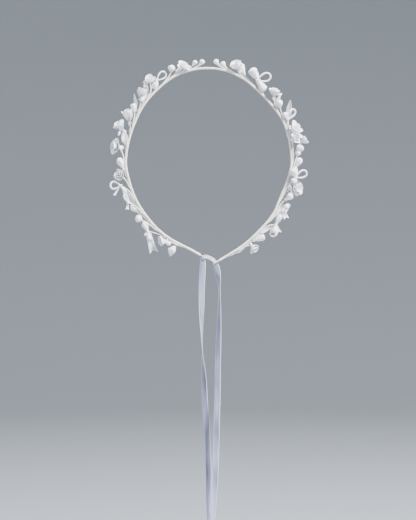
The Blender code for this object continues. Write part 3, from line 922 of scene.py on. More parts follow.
@dataclass
class Ribbon:
    """The satin ribbon: two hanging tails and the stretch that crosses between the eyes.

    A stop is (x, y, z) from the band's centreline at the front centre, then the turn
    of the ribbon's width in degrees and its share of the full width, which is 1 if left out.
    """

    width: float = 6.0
    thick: float = 0.28
    bow: float = 0.35
    bow_length: float = 45.0
    gather: float = 0.7
    lift: float = 1.25
    tail_length: float = 435.0
    steps: int = 9
    left_tail: Stops = (
        (-6, 0, -188.9, 0, 0.55), (-5.2, 0, -192.5, 0, 0.85), (-5.4, 0.2, -200, 5), (-6.2, 0.8, -218, -10),
        (-6.4, 1.2, -233, -24), (-6.5, 1.4, -248, -45), (-6.2, 1.6, -264, -70), (-5.7, 1.8, -282, -92),
        (-4.9, 2, -296, -115), (-3.9, 2.2, -312, -142), (-3.2, 2.6, -332, -165), (-2, 3.2, -350, -175),
        (-0.7, 3.8, -372, -180), (0.6, 4.2, -405, -183), (0.8, 4.6, -430, -200), (1.2, 5, -455, -215),
        (1.2, 5, -500, -200), (0.6, 5, -560, -180), (0.2, 5, -625, -165),
    )
    right_tail: Stops = (
        (8.2, 0, -195.1, 0, 0.6), (8.5, 0, -198, 10, 0.9), (9.7, -0.2, -204, 25), (11, -0.6, -214, 60),
        (11.3, -1, -222, 72), (11.4, -1.4, -234, 64), (11.2, -1.8, -250, 52), (10.8, -2, -266, 38),
        (10.2, -2.4, -282, 26), (9.7, -2.8, -305, 14), (9.4, -3.2, -330, 6), (8.8, -3.6, -348, 0),
        (8.4, -4, -368, -4), (7.7, -4.4, -392, -16), (6.9, -4.8, -420, -36), (5.6, -5, -452, -60),
        (4.6, -5, -500, -40), (3.8, -5, -560, -15), (3.4, -5, -628, 0),
    )
    crossing: Stops = (
        (-5.6, 0, -188.9, 0, 0.40), (-3.6, 0, -188.2, 0, 0.48), (-1, 0, -188.4, 0, 0.54),
        (1.6, 0, -189.4, 0, 0.56), (3.8, 0, -190.5, 0, 0.56), (5.8, 0, -192.1, 0, 0.54),
        (7.4, 0, -193.8, 0, 0.48),
    )

    def build(self, palette: Palette) -> list[Thing]:
        """Builds the tails and the two halves of the crossing.

        Args:
            palette: The finishes.

        Returns:
            The four lengths.
        """
        made = [self.tail("left", self.left_tail, palette), self.tail("right", self.right_tail, palette)]
        line, (rows, tone) = self.surface(self.crossing, (0.0, 0.0, 1.0))
        middle = len(line) // 2
        halves = (
            ("left", slice(0, middle + 1), "left_side", "front"),
            ("right", slice(middle, None), "front", "right_side"),
        )
        for side, part, first, second in halves:
            skin = Skin()
            skin.rod((rows[part], tone[part]))
            # The crossing takes the satin copy painted lighter, as painted light.
            obj = skin.make(f"{side}_ribbon_crossing", [palette.satin_painted_light])
            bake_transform(obj)
            made.append(dressed(obj, "satin_ribbon", "ribbon_crossing"))
        return made

    def tail(self, side: str, stops: Stops, palette: Palette) -> Thing:
        """One hanging tail.

        Args:
            side: The eye that it hangs from.
            stops: The stops of its route.
            palette: The finishes.

        Returns:
            The tail.
        """
        line, sheet = self.surface(stops, (1.0, 0.0, 0.0))
        skin = Skin()
        skin.rod(sheet)
        # The tails take the satin copy painted darker, as painted shade.
        obj = skin.make(f"{side}_satin_tail", [palette.satin])
        joined_to(obj, f"{side}_side", "satin_ribbon", f"{side}_ribbon_tail")
        return obj

    def surface(self, stops: Stops, width_way: Triple) -> tuple[Array, Sheet]:
        """A ribbon's surface.

        Args:
            stops: The stops of its route.
            width_way: The way its width runs where its turn is 0.

        Returns:
            Its centreline, and its closed rows with their tones.
        """
        rows = smooth_line(np.array([(*stop, 1.0)[:5] for stop in stops]), self.steps)
        line = (rows[:, :3] + (0.0, 0.0, self.lift)) * MM
        ways, _, _ = carried(line, width_way)
        wide = np.array(width_way)
        flat = wide - ways * (ways @ wide)[:, None]
        flat /= np.linalg.norm(flat, axis=1, keepdims=True)
        side = turned(flat, ways, np.radians(rows[:, 3]))
        up = np.cross(ways, side)
        half = self.width / 2 * rows[:, 4:]
        u = np.linspace(-1, 1, 11)
        folds = (1 - np.clip(rows[:, 4:], 0.0, 1.0)) * np.cos(u * 2.2 * math.pi) * self.gather
        sway = np.sin(lengths_along(line) / (self.bow_length * MM))[:, None]
        arch = (self.bow * (1 - u**2) * sway + folds) * MM
        face = line[:, None] + side[:, None] * (half * u * MM)[..., None]
        front = face + up[:, None] * (arch + self.thick / 2 * MM)[..., None]
        back = face + up[:, None] * (arch - self.thick / 2 * MM)[..., None]
        tone = np.broadcast_to(np.concatenate([u, u[::-1]]) / 2 + 0.5, (len(line), 2 * len(u)))
        return line, (np.concatenate([front, back[:, ::-1]], axis=1), tone)


# ---------------------------------------------------------------- sprigs


class BudShape(Enum):
    """Outlines of a bud: (share of its length, share of its radius) from base to tip."""

    DROP = (
        (0, 0.18), (0.2, 0.32), (0.42, 0.66), (0.6, 0.93), (0.74, 1.0),
        (0.88, 0.84), (0.96, 0.5), (1.0, 0.05),
    )
    BALL = (
        (0, 0.22), (0.14, 0.40), (0.3, 0.8), (0.5, 1.0), (0.7, 0.97),
        (0.87, 0.7), (0.96, 0.38), (1.0, 0.05),
    )
    TULIP = (
        (0, 0.2), (0.2, 0.42), (0.45, 0.72), (0.7, 0.95), (0.84, 1.0),
        (0.93, 0.88), (0.98, 0.6), (1.0, 0.1),
    )
    POINTED = ((0, 0.25), (0.18, 0.62), (0.4, 1.0), (0.6, 0.88), (0.8, 0.5), (0.93, 0.28), (1.0, 0.05))
    LOBE = ((0, 0.35), (0.25, 0.6), (0.5, 0.85), (0.72, 1.0), (0.88, 0.86), (0.96, 0.55), (1.0, 0.08))
    KNOBBED = (
        (0, 0.3), (0.1, 0.6), (0.22, 0.68), (0.36, 0.52), (0.5, 0.78),
        (0.66, 1.0), (0.84, 0.9), (0.95, 0.5), (1.0, 0.05),
    )


def rolled(line: Array, shape: BudShape, radius: float, wraps: int, ridge: float, seed: float) -> Sheet:
    """A bud's surface, with the steps of its rolled petals.

    Args:
        line: Its centreline.
        shape: Its outline.
        radius: Its greatest radius, in millimetres.
        wraps: How many petals are rolled round it.
        ridge: How high each petal's edge stands, as a share of the radius.
        seed: Tells buds apart.

    Returns:
        Its rows, and their tones.
    """
    _, side, up = carried(line, TO_BACK)
    share = np.linspace(0, 1, len(line))[:, None]
    width = np.interp(share[:, 0], *np.array(shape.value).T)
    width[1:-1] = (width[:-2] + 2 * width[1:-1] + width[2:]) / 4
    angles = round_angles(24)
    turn = wraps * angles / FULL_TURN + share * 0.8 + seed * 0.37
    saw = turn - np.floor(turn)
    step = 1 + ridge * (0.5 - saw) * np.sin(math.pi * share) ** 0.5
    rows = line[:, None] + rings(side, up, angles) * (width[:, None] * step * radius * MM)[..., None]
    return rows, 0.15 + np.minimum(saw, 0.5) * 1.2 + 0.25 * share


@dataclass
class Sprig:
    """A piece on its own wire stem.

    Attributes:
        node: The CAD node that it stands for.
        station: Where its stem leaves the band, from the front centre; the left is negative.
        reach: From its foot to its head, (x, y, z).
        lobes: Small rolled lobes beside the head; each (tip from the head (x, z), radius).
        part: What its head is called.
        finish_slot: The record's material slot for its head.
        cloth: The thickness of its head's cloth.
        lobe_slot: Which of its head's finishes the lobes take.
        stem_radius: The stem's radius.
        foot_radius: Its radius under the band's tape.
        tape_pitch: How far apart the turns of its tape are.
    """

    node: str
    station: float
    reach: Triple
    lobes: Sequence[tuple[Pair, float]] = field(default=(), kw_only=True)
    part: ClassVar[str] = "petals"
    finish_slot: ClassVar[str] = "petal_fabric"
    cloth: ClassVar[float] = 0.22
    lobe_slot: ClassVar[int] = 1
    stem_radius: ClassVar[float] = 0.58
    foot_radius: ClassVar[float] = 0.68
    tape_pitch: ClassVar[float] = 1.9

    def build(self, line: BandLine, palette: Palette) -> list[Thing]:
        """Builds the head and the stem, and joins both to the sprig's CAD node.

        Args:
            line: The band's centreline.
            palette: The finishes.

        Returns:
            The head and the stem.
        """
        perch = Perch(self.node, self.station, line)
        tip = perch.foot + np.array(self.reach) * MM
        head, stem = Skin(), Skin()
        self.shape(perch, tip, head, stem)
        self.add_lobes(head, tip)
        head_obj = head.make(f"{self.node}_{self.part}", self.finishes(palette), self.cloth, 1)
        bark = [palette.tape, palette.pearl][: max(stem.slots) + 1]
        stem_obj = stem.make(f"{self.node}_stem", bark)
        return [
            joined_to(head_obj, perch.body, self.finish_slot, self.node),
            joined_to(stem_obj, perch.body, "floral_tape", self.node),
        ]

    def shape(self, perch: Perch, tip: Array, head: Skin, stem: Skin) -> None:
        """Adds the grids of the head and of the stem; each kind of sprig has its own.

        Args:
            perch: Where it leaves the band.
            tip: Where its head is.
            head: The head's surface.
            stem: The stem's surface.
        """
        raise NotImplementedError

    def finishes(self, palette: Palette) -> list[Material]:
        """The head's finishes."""
        return [palette.petal, palette.bud]

    def looking(self, perch: Perch, faces: Triple) -> Array:
        """The way a head looks, from its shares outward, ahead and to the viewer."""
        outward, ahead, viewer = faces
        return unit(perch.outward * outward + perch.ahead * ahead + np.array([0.0, -viewer, 0.0]))

    def add_stem(self, skin: Skin, line: Array) -> None:
        """A taped stem, thicker where the band's tape holds it; line is its centreline."""
        line = smooth_line(line, 3)
        along = lengths_along(line)
        held = np.clip(1 - 2.5 * along / max(along[-1], TINY), 0, 1)
        radii = self.stem_radius + (self.foot_radius - self.stem_radius) * held
        turns = 1 + 0.08 * np.sin(along / MM * FULL_TURN / self.tape_pitch)
        skin.tube(line, radii * turns * MM, 8, tone=0.45)

    def add_lobes(self, skin: Skin, head: Array) -> None:
        """The small rolled lobes beside the head."""
        for k, (tip, radius) in enumerate(self.lobes):
            way = np.array([tip[0], 0.9 * math.sin(2.1 * k + self.station), tip[1]]) * MM
            line = head + np.linspace(0.12, 1.0, 18)[:, None] * way
            skin.rod(rolled(line, BudShape.LOBE, radius, 3, 0.08, self.station + k), self.lobe_slot)

    def add_calyx(self, skin: Skin, base: Array, axis: Array, width: float, height: float) -> None:
        """The five-lobed cup of tape under a head.

        Args:
            skin: The stem's surface.
            base: The middle of the cup.
            axis: The way it opens.
            width: Its radius.
            height: Its height.
        """
        angles = round_angles(20)
        rows, lobes = [], 0.72 + 0.28 * np.cos(5 * angles)
        for share, wide in ((-0.35, 0.30), (0.0, 0.45), (0.3, 0.78), (0.65, 0.98), (1.0, 1.04)):
            up = height * np.where(share > 0.5, share * lobes, share)
            across = width * wide
            rows.append(np.stack([across * np.cos(angles), across * np.sin(angles), up], axis=1) * MM)
        skin.rod((base + np.array(rows) @ basis(axis).T, 0.35))


@dataclass
class Bud(Sprig):
    """A closed bud of paste petals rolled round each other."""

    radius: float
    length: float
    bud: BudShape = BudShape.DROP
    wraps: int = 3
    ridge: float = 0.12
    part: ClassVar[str] = "head"
    finish_slot: ClassVar[str] = "bud_porcelain"
    cloth: ClassVar[float] = 0.0
    lobe_slot: ClassVar[int] = 0

    def finishes(self, palette: Palette) -> list[Material]:
        """The bud's paste."""
        return [palette.bud]

    def shape(self, perch: Perch, tip: Array, head: Skin, stem: Skin) -> None:
        """Adds the rolled bud, and the stem with its calyx."""
        path = respaced(smooth_line(perch.stem(tip), 4), 120)
        along = lengths_along(path)
        start = int(np.searchsorted(along, along[-1] - self.length * MM))
        bulb = respaced(path[start:], 26)
        self.add_stem(stem, path[: start + 2][::6])
        self.add_calyx(stem, bulb[0], unit(bulb[3] - bulb[0]), self.radius * 0.42, self.length * 0.2)
        head.rod(rolled(bulb, self.bud, self.radius, self.wraps, self.ridge, self.station))


@dataclass(frozen=True)
class Petal:
    """The cut and shaping of one petal.

    Attributes:
        length: From root to tip.
        width: Half its widest part, as a share of its length.
        lift: How far it rises from the flower's plane at the root, in radians.
        curl: How much further it rises (or falls back) by its tip, in radians.
        cup: How far its sides rise, as a share of its half width.
        ruffle: How deep its rim waves.
        blunt: The power of its tip's outline; 0.5 is round and 1 pointed.
        widest: Where it is widest, as a share of its length.
    """

    length: float
    width: float = 0.56
    lift: float = 0.5
    curl: float = 0.0
    cup: float = 0.35
    ruffle: float = 0.05
    blunt: float = 0.42
    widest: float = 0.6

    def rows(self, seed: float) -> Sheet:
        """Its surface with its root at the origin, its tip towards +Y and its face to +Z.

        Args:
            seed: Tells petals apart.

        Returns:
            The rows of points, and their tones.
        """
        v = np.sin(np.linspace(0, math.pi / 2, 10))[:, None]
        u = np.linspace(-1, 1, 9)
        angle = self.lift + self.curl * v**1.6
        step = np.diff(v, axis=0, prepend=0.0) * self.length * MM
        radial, rise = np.cumsum(np.cos(angle) * step, axis=0), np.cumsum(np.sin(angle) * step, axis=0)
        tip = np.clip((v - self.widest) / (1 - self.widest), 0, 1)
        root = 0.36 + 0.64 * np.sin(math.pi / 2 * v / self.widest)
        outline = np.where(v < self.widest, root, np.clip(1 - tip**2, 0.02, 1) ** self.blunt)
        half = self.width * self.length * MM * outline * (1 + 0.07 * math.sin(seed * 5.1))
        wave = np.sin(u * 5.3 + seed * 3.0 + v * 2.0) * v**2 * self.ruffle
        bend = (self.cup * u**2 + wave) * half * np.clip(v * 2.2, 0, 1)
        points = np.stack([u * half, radial - np.sin(angle) * bend, rise + np.cos(angle) * bend], axis=2)
        return points, np.clip(np.maximum(v**1.2, np.abs(u) ** 3 * v), 0, 1)


class Bloom(Enum):
    """How open a flower is: rings of (petals, share of radius, lift, curl, turn)."""

    OPEN = ((5, 1.0, 0.30, 0.15, 0.0), (3, 0.55, 0.75, 0.3, 0.6))
    CUPPED = ((5, 1.0, 0.75, 0.2, 0.0), (3, 0.72, 1.05, 0.3, 0.5))
    GOBLET = ((4, 1.0, 1.0, 0.25, 0.0), (3, 0.85, 1.2, 0.3, 0.7))
    PANSY = ((3, 1.0, 0.35, 0.1, 0.0), (2, 1.05, 0.55, -0.2, 0.52), (3, 0.5, 1.0, 0.3, 0.4))
    FULL = ((5, 1.0, 0.25, 0.1, 0.0), (5, 0.82, 0.6, 0.2, 0.63), (4, 0.55, 1.0, 0.3, 0.2))


@dataclass
class Flower(Sprig):
    """A small cloth flower.

    Attributes:
        radius: From its middle to a petal's tip.
        faces: Which way it looks, (outward, ahead, to the viewer).
        bloom: How open it is.
        cup: How deep its middle lies, as a share of its radius.
        spin: The turn of its first petal, in radians.
        grow: How much fuller the cloth is than its CAD solid.
        widest: The greatest half width of a petal.
        bead: The radius of a stamen's tip.
        thread: The radius of its thread.
    """

    radius: float
    faces: Triple
    bloom: Bloom = Bloom.OPEN
    cup: float = 0.5
    spin: float = 0.0
    grow: float = 1.12
    widest: float = 4.6
    bead: float = 0.34
    thread: float = 0.12

    def shape(self, perch: Perch, tip: Array, head: Skin, stem: Skin) -> None:
        """Adds the petals and sepals, and the stem with calyx and stamens."""
        normal = self.looking(perch, self.faces)
        base = tip - normal * self.radius * self.cup * 0.5 * MM
        turn = basis(normal)
        seed = abs(self.station) * 0.17
        for ring, (count, share, lift, curl, offset) in enumerate(self.bloom.value):
            for k in range(count):
                seed += 0.73
                cut = self.petal(share, lift + 0.09 * math.sin(seed * 7.0), curl)
                rows, tone = cut.rows(seed)
                rows = rows + np.array([0.0, 0.35 * MM, 0.25 * ring * MM])
                rows = spun(rows, self.spin + offset + FULL_TURN * k / count + 0.12 * math.sin(seed * 3.0))
                head.grid(base + rows @ turn.T, tone)
        for k in range(3):
            rows, tone = Petal(self.radius * 0.85, 0.38, -0.95, -0.3, cup=-0.3).rows(seed + k)
            # The sepals' tone is scaled down, so more of the cloth's painted root shade falls on them, under
            # the flower.
            head.grid(base + spun(rows, self.spin + 2.1 * k + 0.5) @ turn.T, tone * 0.7)
        self.add_stem(stem, perch.stem(base - normal * 1.4 * MM))
        self.add_calyx(stem, base - normal * 1.3 * MM, normal, self.radius * 0.26, 2.0)
        self.add_stamens(stem, base, turn, seed)

    def petal(self, share: float, lift: float, curl: float) -> Petal:
        """A petal whose tip stands at its ring's share of the radius."""
        length = self.radius * self.grow * share / max(math.cos(lift + curl * 0.45), 0.5)
        return Petal(length, min(0.56, self.widest / length), lift, curl)

    def add_stamens(self, skin: Skin, base: Array, turn: Array, seed: float) -> None:
        """Threads with beads at the flower's middle.

        Args:
            skin: The stem's surface.
            base: The flower's middle.
            turn: The flower's frame.
            seed: Tells flowers apart.
        """
        count = 6 if self.radius > 5 else 4
        for k in range(count + 1):
            angle, lean, share = (2.4 * k + seed, 0.45, 0.34) if k < count else (0.0, 0.0, 0.42)
            way = turn @ np.array([lean * math.cos(angle), lean * math.sin(angle), 1.0])
            tall = self.radius * share * MM
            top = base + way * tall
            skin.tube(np.array([base, base + way * tall * 0.5, top]), self.thread * MM, 5, slot=1)
            skin.ball(top, self.bead * MM, way, slot=1, tall=1.4)


@dataclass
class Rosette(Sprig):
    """A ribbon rose: one strip rolled into a spiral, its upper edge flared and waved."""

    radius: float
    faces: Triple
    cup: float = 0.7
    rolls: float = 3.1
    part: ClassVar[str] = "roll"
    cloth: ClassVar[float] = 0.25

    def shape(self, perch: Perch, tip: Array, head: Skin, stem: Skin) -> None:
        """Adds the rolled strip, and its stem and calyx."""
        normal = self.looking(perch, self.faces)
        base = tip - normal * self.radius * self.cup * 0.6 * MM
        rows, tone = self.strip()
        head.grid(base + rows @ basis(normal).T, tone)
        self.add_stem(stem, perch.stem(base - normal * 1.2 * MM))
        self.add_calyx(stem, base - normal * 1.2 * MM, normal, self.radius * 0.42, 2.2)

    def strip(self) -> Sheet:
        """The rolled strip's rows round the spiral, and their tones."""
        angle = np.linspace(0, FULL_TURN * self.rolls, int(26 * self.rolls))[:, None]
        share = angle / angle[-1]
        v = np.linspace(0, 1, 6)
        radius = self.radius * (0.10 + 0.78 * share**0.9)
        flare = self.radius * 0.24 * v**2 * share * (1 + 0.4 * np.sin(angle * 2.3))
        tall = self.radius * (0.95 - 0.30 * share) * (1 + 0.1 * np.sin(angle * 2.3 + 0.8))
        reach = (radius * (0.55 + 0.45 * v) + flare) * MM
        rows = np.stack([reach * np.cos(angle), reach * np.sin(angle), tall * v * MM], axis=2)
        return rows, v


@dataclass
class Leaf(Sprig):
    """A pointed cloth leaf, creased along its midrib and wired behind.

    Attributes:
        width: Its greatest width.
        side: The way its face looks, (x, y, z).
        sheer: Whether it is cut from the thinner, greyer cloth.
        stalk: Where its blade begins, as a share of its length.
        crease: How deep its sides fold back.
        droop: How far its middle bows, as a share of its length.
        grow: How much fuller the cloth is than its CAD solid.
    """

    width: float
    side: Triple = TO_BACK
    sheer: bool = False
    stalk: float = 0.2
    crease: float = 0.30
    droop: float = 0.06
    grow: float = 1.25
    part: ClassVar[str] = "blade"
    finish_slot: ClassVar[str] = "leaf_fabric"

    def finishes(self, palette: Palette) -> list[Material]:
        """The leaf's cloth."""
        return [palette.sheer if self.sheer else palette.leaf]

    def shape(self, perch: Perch, tip: Array, head: Skin, stem: Skin) -> None:
        """Adds the blade, and the stem that runs on as its midrib."""
        axis = tip - perch.foot
        turn = basis(axis, self.side)
        long = float(np.linalg.norm(axis))
        v = np.linspace(0, 1, 17)[:, None]
        u = np.linspace(-1, 1, 9)
        z = long * (self.stalk + (1 - self.stalk) * v)
        arc = self.droop * long * np.sin(math.pi * v)
        outline = np.sin(math.pi * np.clip(v, 0.02, 1) ** 0.85) ** 0.8 * (1 - 0.25 * v)
        half = self.grow * self.width / 2 * MM * np.clip(outline / outline.max(), 0.03, 1)
        fold = -(self.crease * np.abs(u) + 0.10 * np.sin(v * 9.0 + self.station) * u**2) * half
        rows = np.stack(np.broadcast_arrays(u * half, fold + arc, z), axis=2)
        head.grid(perch.foot + rows @ turn.T, np.maximum(np.abs(u) ** 4, (v > 0.97) * 1.0))
        spine = perch.foot + np.hstack([np.zeros_like(z), arc - 0.16 * MM, z])[:14] @ turn.T
        self.add_stem(stem, np.vstack([perch.stem(spine[0], 6)[:-1], spine[:2]]))
        stem.tube(spine, np.linspace(0.30, 0.10, len(spine)) * MM, 6, tone=0.6)


@dataclass
class Bow(Sprig):
    """A tied bow of narrow ribbon.

    Attributes:
        loops: Each (tip from the knot (x, z), width of the loop, turn about its length in degrees).
        tails: Each (tip from the knot (x, z), width of the cut end).
        ribbon: The ribbon's width.
        pad: Half the depth of a loop's padding.
        knot: The knot's radius.
    """

    loops: Sequence[tuple[Pair, float, float]]
    tails: Sequence[tuple[Pair, float]] = ()
    ribbon: float = 2.7
    pad: float = 0.72
    knot: float = 1.7
    part: ClassVar[str] = "ribbon"
    finish_slot: ClassVar[str] = "bow_ribbon"
    cloth: ClassVar[float] = 0.26

    def finishes(self, palette: Palette) -> list[Material]:
        """The bow's ribbon, and the paste of its lobes."""
        return [palette.bow, palette.bud]

    def shape(self, perch: Perch, tip: Array, head: Skin, stem: Skin) -> None:
        """Adds the loops, tails and wrapped knot, and the stem behind them."""
        for (x, z), width, turn in self.loops:
            axis = np.array([x, 0.0, z]) * MM
            rows, tone = self.loop(float(np.linalg.norm(axis)), width)
            head.grid(tip + spun(rows, math.radians(turn)) @ basis(axis).T, tone, closed=True)
        for number, ((x, z), width) in enumerate(self.tails):
            axis = np.array([x, 0.0, z]) * MM
            for half in (-1.0, 1.0):
                rows, tone = self.tail(float(np.linalg.norm(axis)), width * MM, number, half)
                head.grid(tip + rows @ basis(axis).T, tone)
        x, z = self.loops[0][0]
        head.grid(tip + self.wrap() @ basis((x, 0.0, z)).T, 0.8)
        self.add_stem(stem, perch.stem(tip))

    def loop(self, length: float, width: float) -> Sheet:
        """A loop that leaves the origin along +Z and comes back to it.

        Args:
            length: How far it reaches, in metres.
            width: How wide it opens, in millimetres.

        Returns:
            Its closed rows, and their tones.
        """
        angle = 0.42 + (FULL_TURN - 0.84) * np.linspace(0, 1, 30)
        out = length * (1 - np.cos(angle)) / 2
        across = width / 2 * MM * np.sin(angle) * np.sin(angle / 2) * 1.3
        level = np.zeros(len(angle))
        line = np.stack([across, level, out], axis=1)
        pinch = np.clip(np.sin(angle / 2) * 1.5, 0.45, 1.0)[:, None]
        inward = np.stack([np.gradient(out), level, -np.gradient(across)], axis=1)
        inward /= np.linalg.norm(inward, axis=1, keepdims=True)
        angles = round_angles(12)
        half = self.ribbon / 2 * MM * pinch * np.sign(np.cos(angles)) * np.abs(np.cos(angles)) ** 0.8
        pad = self.pad * MM * pinch * np.sin(angles)
        return line[:, None] + half[..., None] * TO_BACK + pad[..., None] * inward[:, None], pinch

    def tail(self, length: float, width: float, number: int, half: float) -> Sheet:
        """One half of a swallow-tailed end along +Z, beside its notch.

        Args:
            length: How far it reaches, in metres.
            width: The width of its cut end, in metres.
            number: Tells tails apart.
            half: Which half; -1 or 1.

        Returns:
            Its rows, and their tones.
        """
        v = np.linspace(0, 1, 13)[:, None]
        u = np.linspace(0, 1, 5) * half
        rim = np.abs(u)
        ripple = 0.14 * width * np.sin(v * 5.0 + number) * (0.3 + rim) * np.sign(u + 1e-9)
        curl = 0.06 * length * np.sin(v * math.pi * 1.1)
        reach = length * v - 0.45 * width * (1 - rim) * v**6
        return np.stack([u * (0.30 + 0.20 * v**1.3) * width, ripple + curl, reach], axis=2), 0.35 + 0.6 * v

    def wrap(self) -> Array:
        """The short length of ribbon wrapped round the middle, about +Z."""
        angles = np.linspace(0, FULL_TURN * 1.1, 22)[:, None]
        u = np.linspace(-1, 1, 6)
        radius = self.knot * MM * (1 - 0.16 * u**2 + 0.05 * np.sin(angles * 3))
        across = np.broadcast_to(self.knot * MM * u, radius.shape)
        return np.stack([radius * np.cos(angles) * 0.8, radius * np.sin(angles), across], axis=2)


# ---------------------------------------------------------------- the studio


@dataclass
class Studio:
    """A pale floor that curves up on all sides, soft light and the camera, in metres.

    Attributes:
        floor: The floor's height.
        flat: The radius of its flat part.
        reach: The radius of its rim.
        rise: The height of its rim above the floor.
        lens: The camera's focal length, in millimetres.
        sensor: The width of its frame, in millimetres.
        eye: Where it stands.
        aim: Where the lamps look.
        lamps: Each (name, place, power in watts, side of its square).
        sky: The colour of the surrounding light.
        sky_power: Its strength.
    """

    floor: float = -0.66
    flat: float = 2.6
    reach: float = 4.4
    rise: float = 4.5
    lens: float = 85.0
    sensor: float = 36.0
    eye: Triple = (0.0, -1.2278, -0.19045)
    aim: Triple = (0.0, 0.0, -0.12)
    lamps: tuple[tuple[str, Triple, float, float], ...] = (
        ("key_light", (1.3, -1.0, 1.35), 270.0, 0.55),
        ("fill_light", (-1.7, -1.4, 0.4), 32.0, 1.4),
        ("top_light", (-0.3, 0.4, 1.7), 75.0, 1.2),
    )
    sky: Triple = (0.93, 0.96, 1.0)
    sky_power: float = 0.09

    def build(self, palette: Palette) -> None:
        """Builds the sweep, the lights and the camera; palette holds the finishes."""
        self.sweep(palette)
        for lamp in self.lamps:
            self.light(*lamp)
        world = bpy.data.worlds.new("soft_sky")
        world.use_nodes = True
        sky = world.node_tree.nodes["Background"]
        sky.inputs["Color"].default_value = (*self.sky, 1.0)
        sky.inputs["Strength"].default_value = self.sky_power
        bpy.context.scene.world = world
        self.camera()

    def sweep(self, palette: Palette) -> None:
        """The floor and its curved rim, one surface all round; palette holds the finishes."""
        bend = self.reach - self.flat
        profile = [(0.02, 0.0), (self.flat * 0.5, 0.0), (self.flat, 0.0)]
        for angle in np.linspace(0, math.pi / 2, 9)[1:]:
            profile.append((self.flat + bend * math.sin(angle), bend * (1 - math.cos(angle))))
        profile.append((self.reach, self.rise))
        angles = round_angles(72)
        rows = [[(r * math.cos(a), r * math.sin(a), self.floor + z) for a in angles] for r, z in profile]
        skin = Skin()
        skin.grid(np.array(rows), closed=True)
        skin.grid(np.array([rows[0], [(0.0, 0.0, self.floor)] * len(angles)]), closed=True)
        skin.make("studio_sweep", [palette.studio])

    def light(self, name: str, place: Triple, power: float, size: float) -> None:
        """A soft square lamp that looks at the crown.

        Args:
            name: The lamp's name.
            place: Where it stands.
            power: Its power.
            size: The side of its square.
        """
        data = bpy.data.lights.new(name, "AREA")
        data.energy = power
        data.size = size
        lamp = bpy.data.objects.new(name, data)
        lamp.location = place
        lamp.rotation_euler = (Vector(self.aim) - Vector(place)).to_track_quat("-Z", "Y").to_euler()
        bpy.context.collection.objects.link(lamp)

    def camera(self) -> None:
        """The camera, level and square to the crown's front."""
        data = bpy.data.cameras.new("portrait_camera")
        data.lens = self.lens
        data.sensor_width = self.sensor
        data.sensor_fit = "AUTO"
        camera = bpy.data.objects.new("portrait_camera", data)
        camera.location = self.eye
        camera.rotation_euler = (math.pi / 2, 0.0, 0.0)
        bpy.context.collection.objects.link(camera)
        bpy.context.scene.camera = camera


# ---------------------------------------------------------------- the crown


@dataclass
class Spray:
    """The sprigs down one side of the crown, from the front backwards."""

    side: str
    sprigs: Sequence[Sprig]

    def build(self, line: BandLine, palette: Palette) -> int:
        """Builds each sprig.

        Args:
            line: The band's centreline.
            palette: The finishes.

        Returns:
            The number of objects.
        """
        count = 0
        for sprig in self.sprigs:
            made = sprig.build(line, palette)
            count += len(made)
            LOG.info("%s: %d objects at %.0f mm", sprig.node, len(made), sprig.station)
        return count


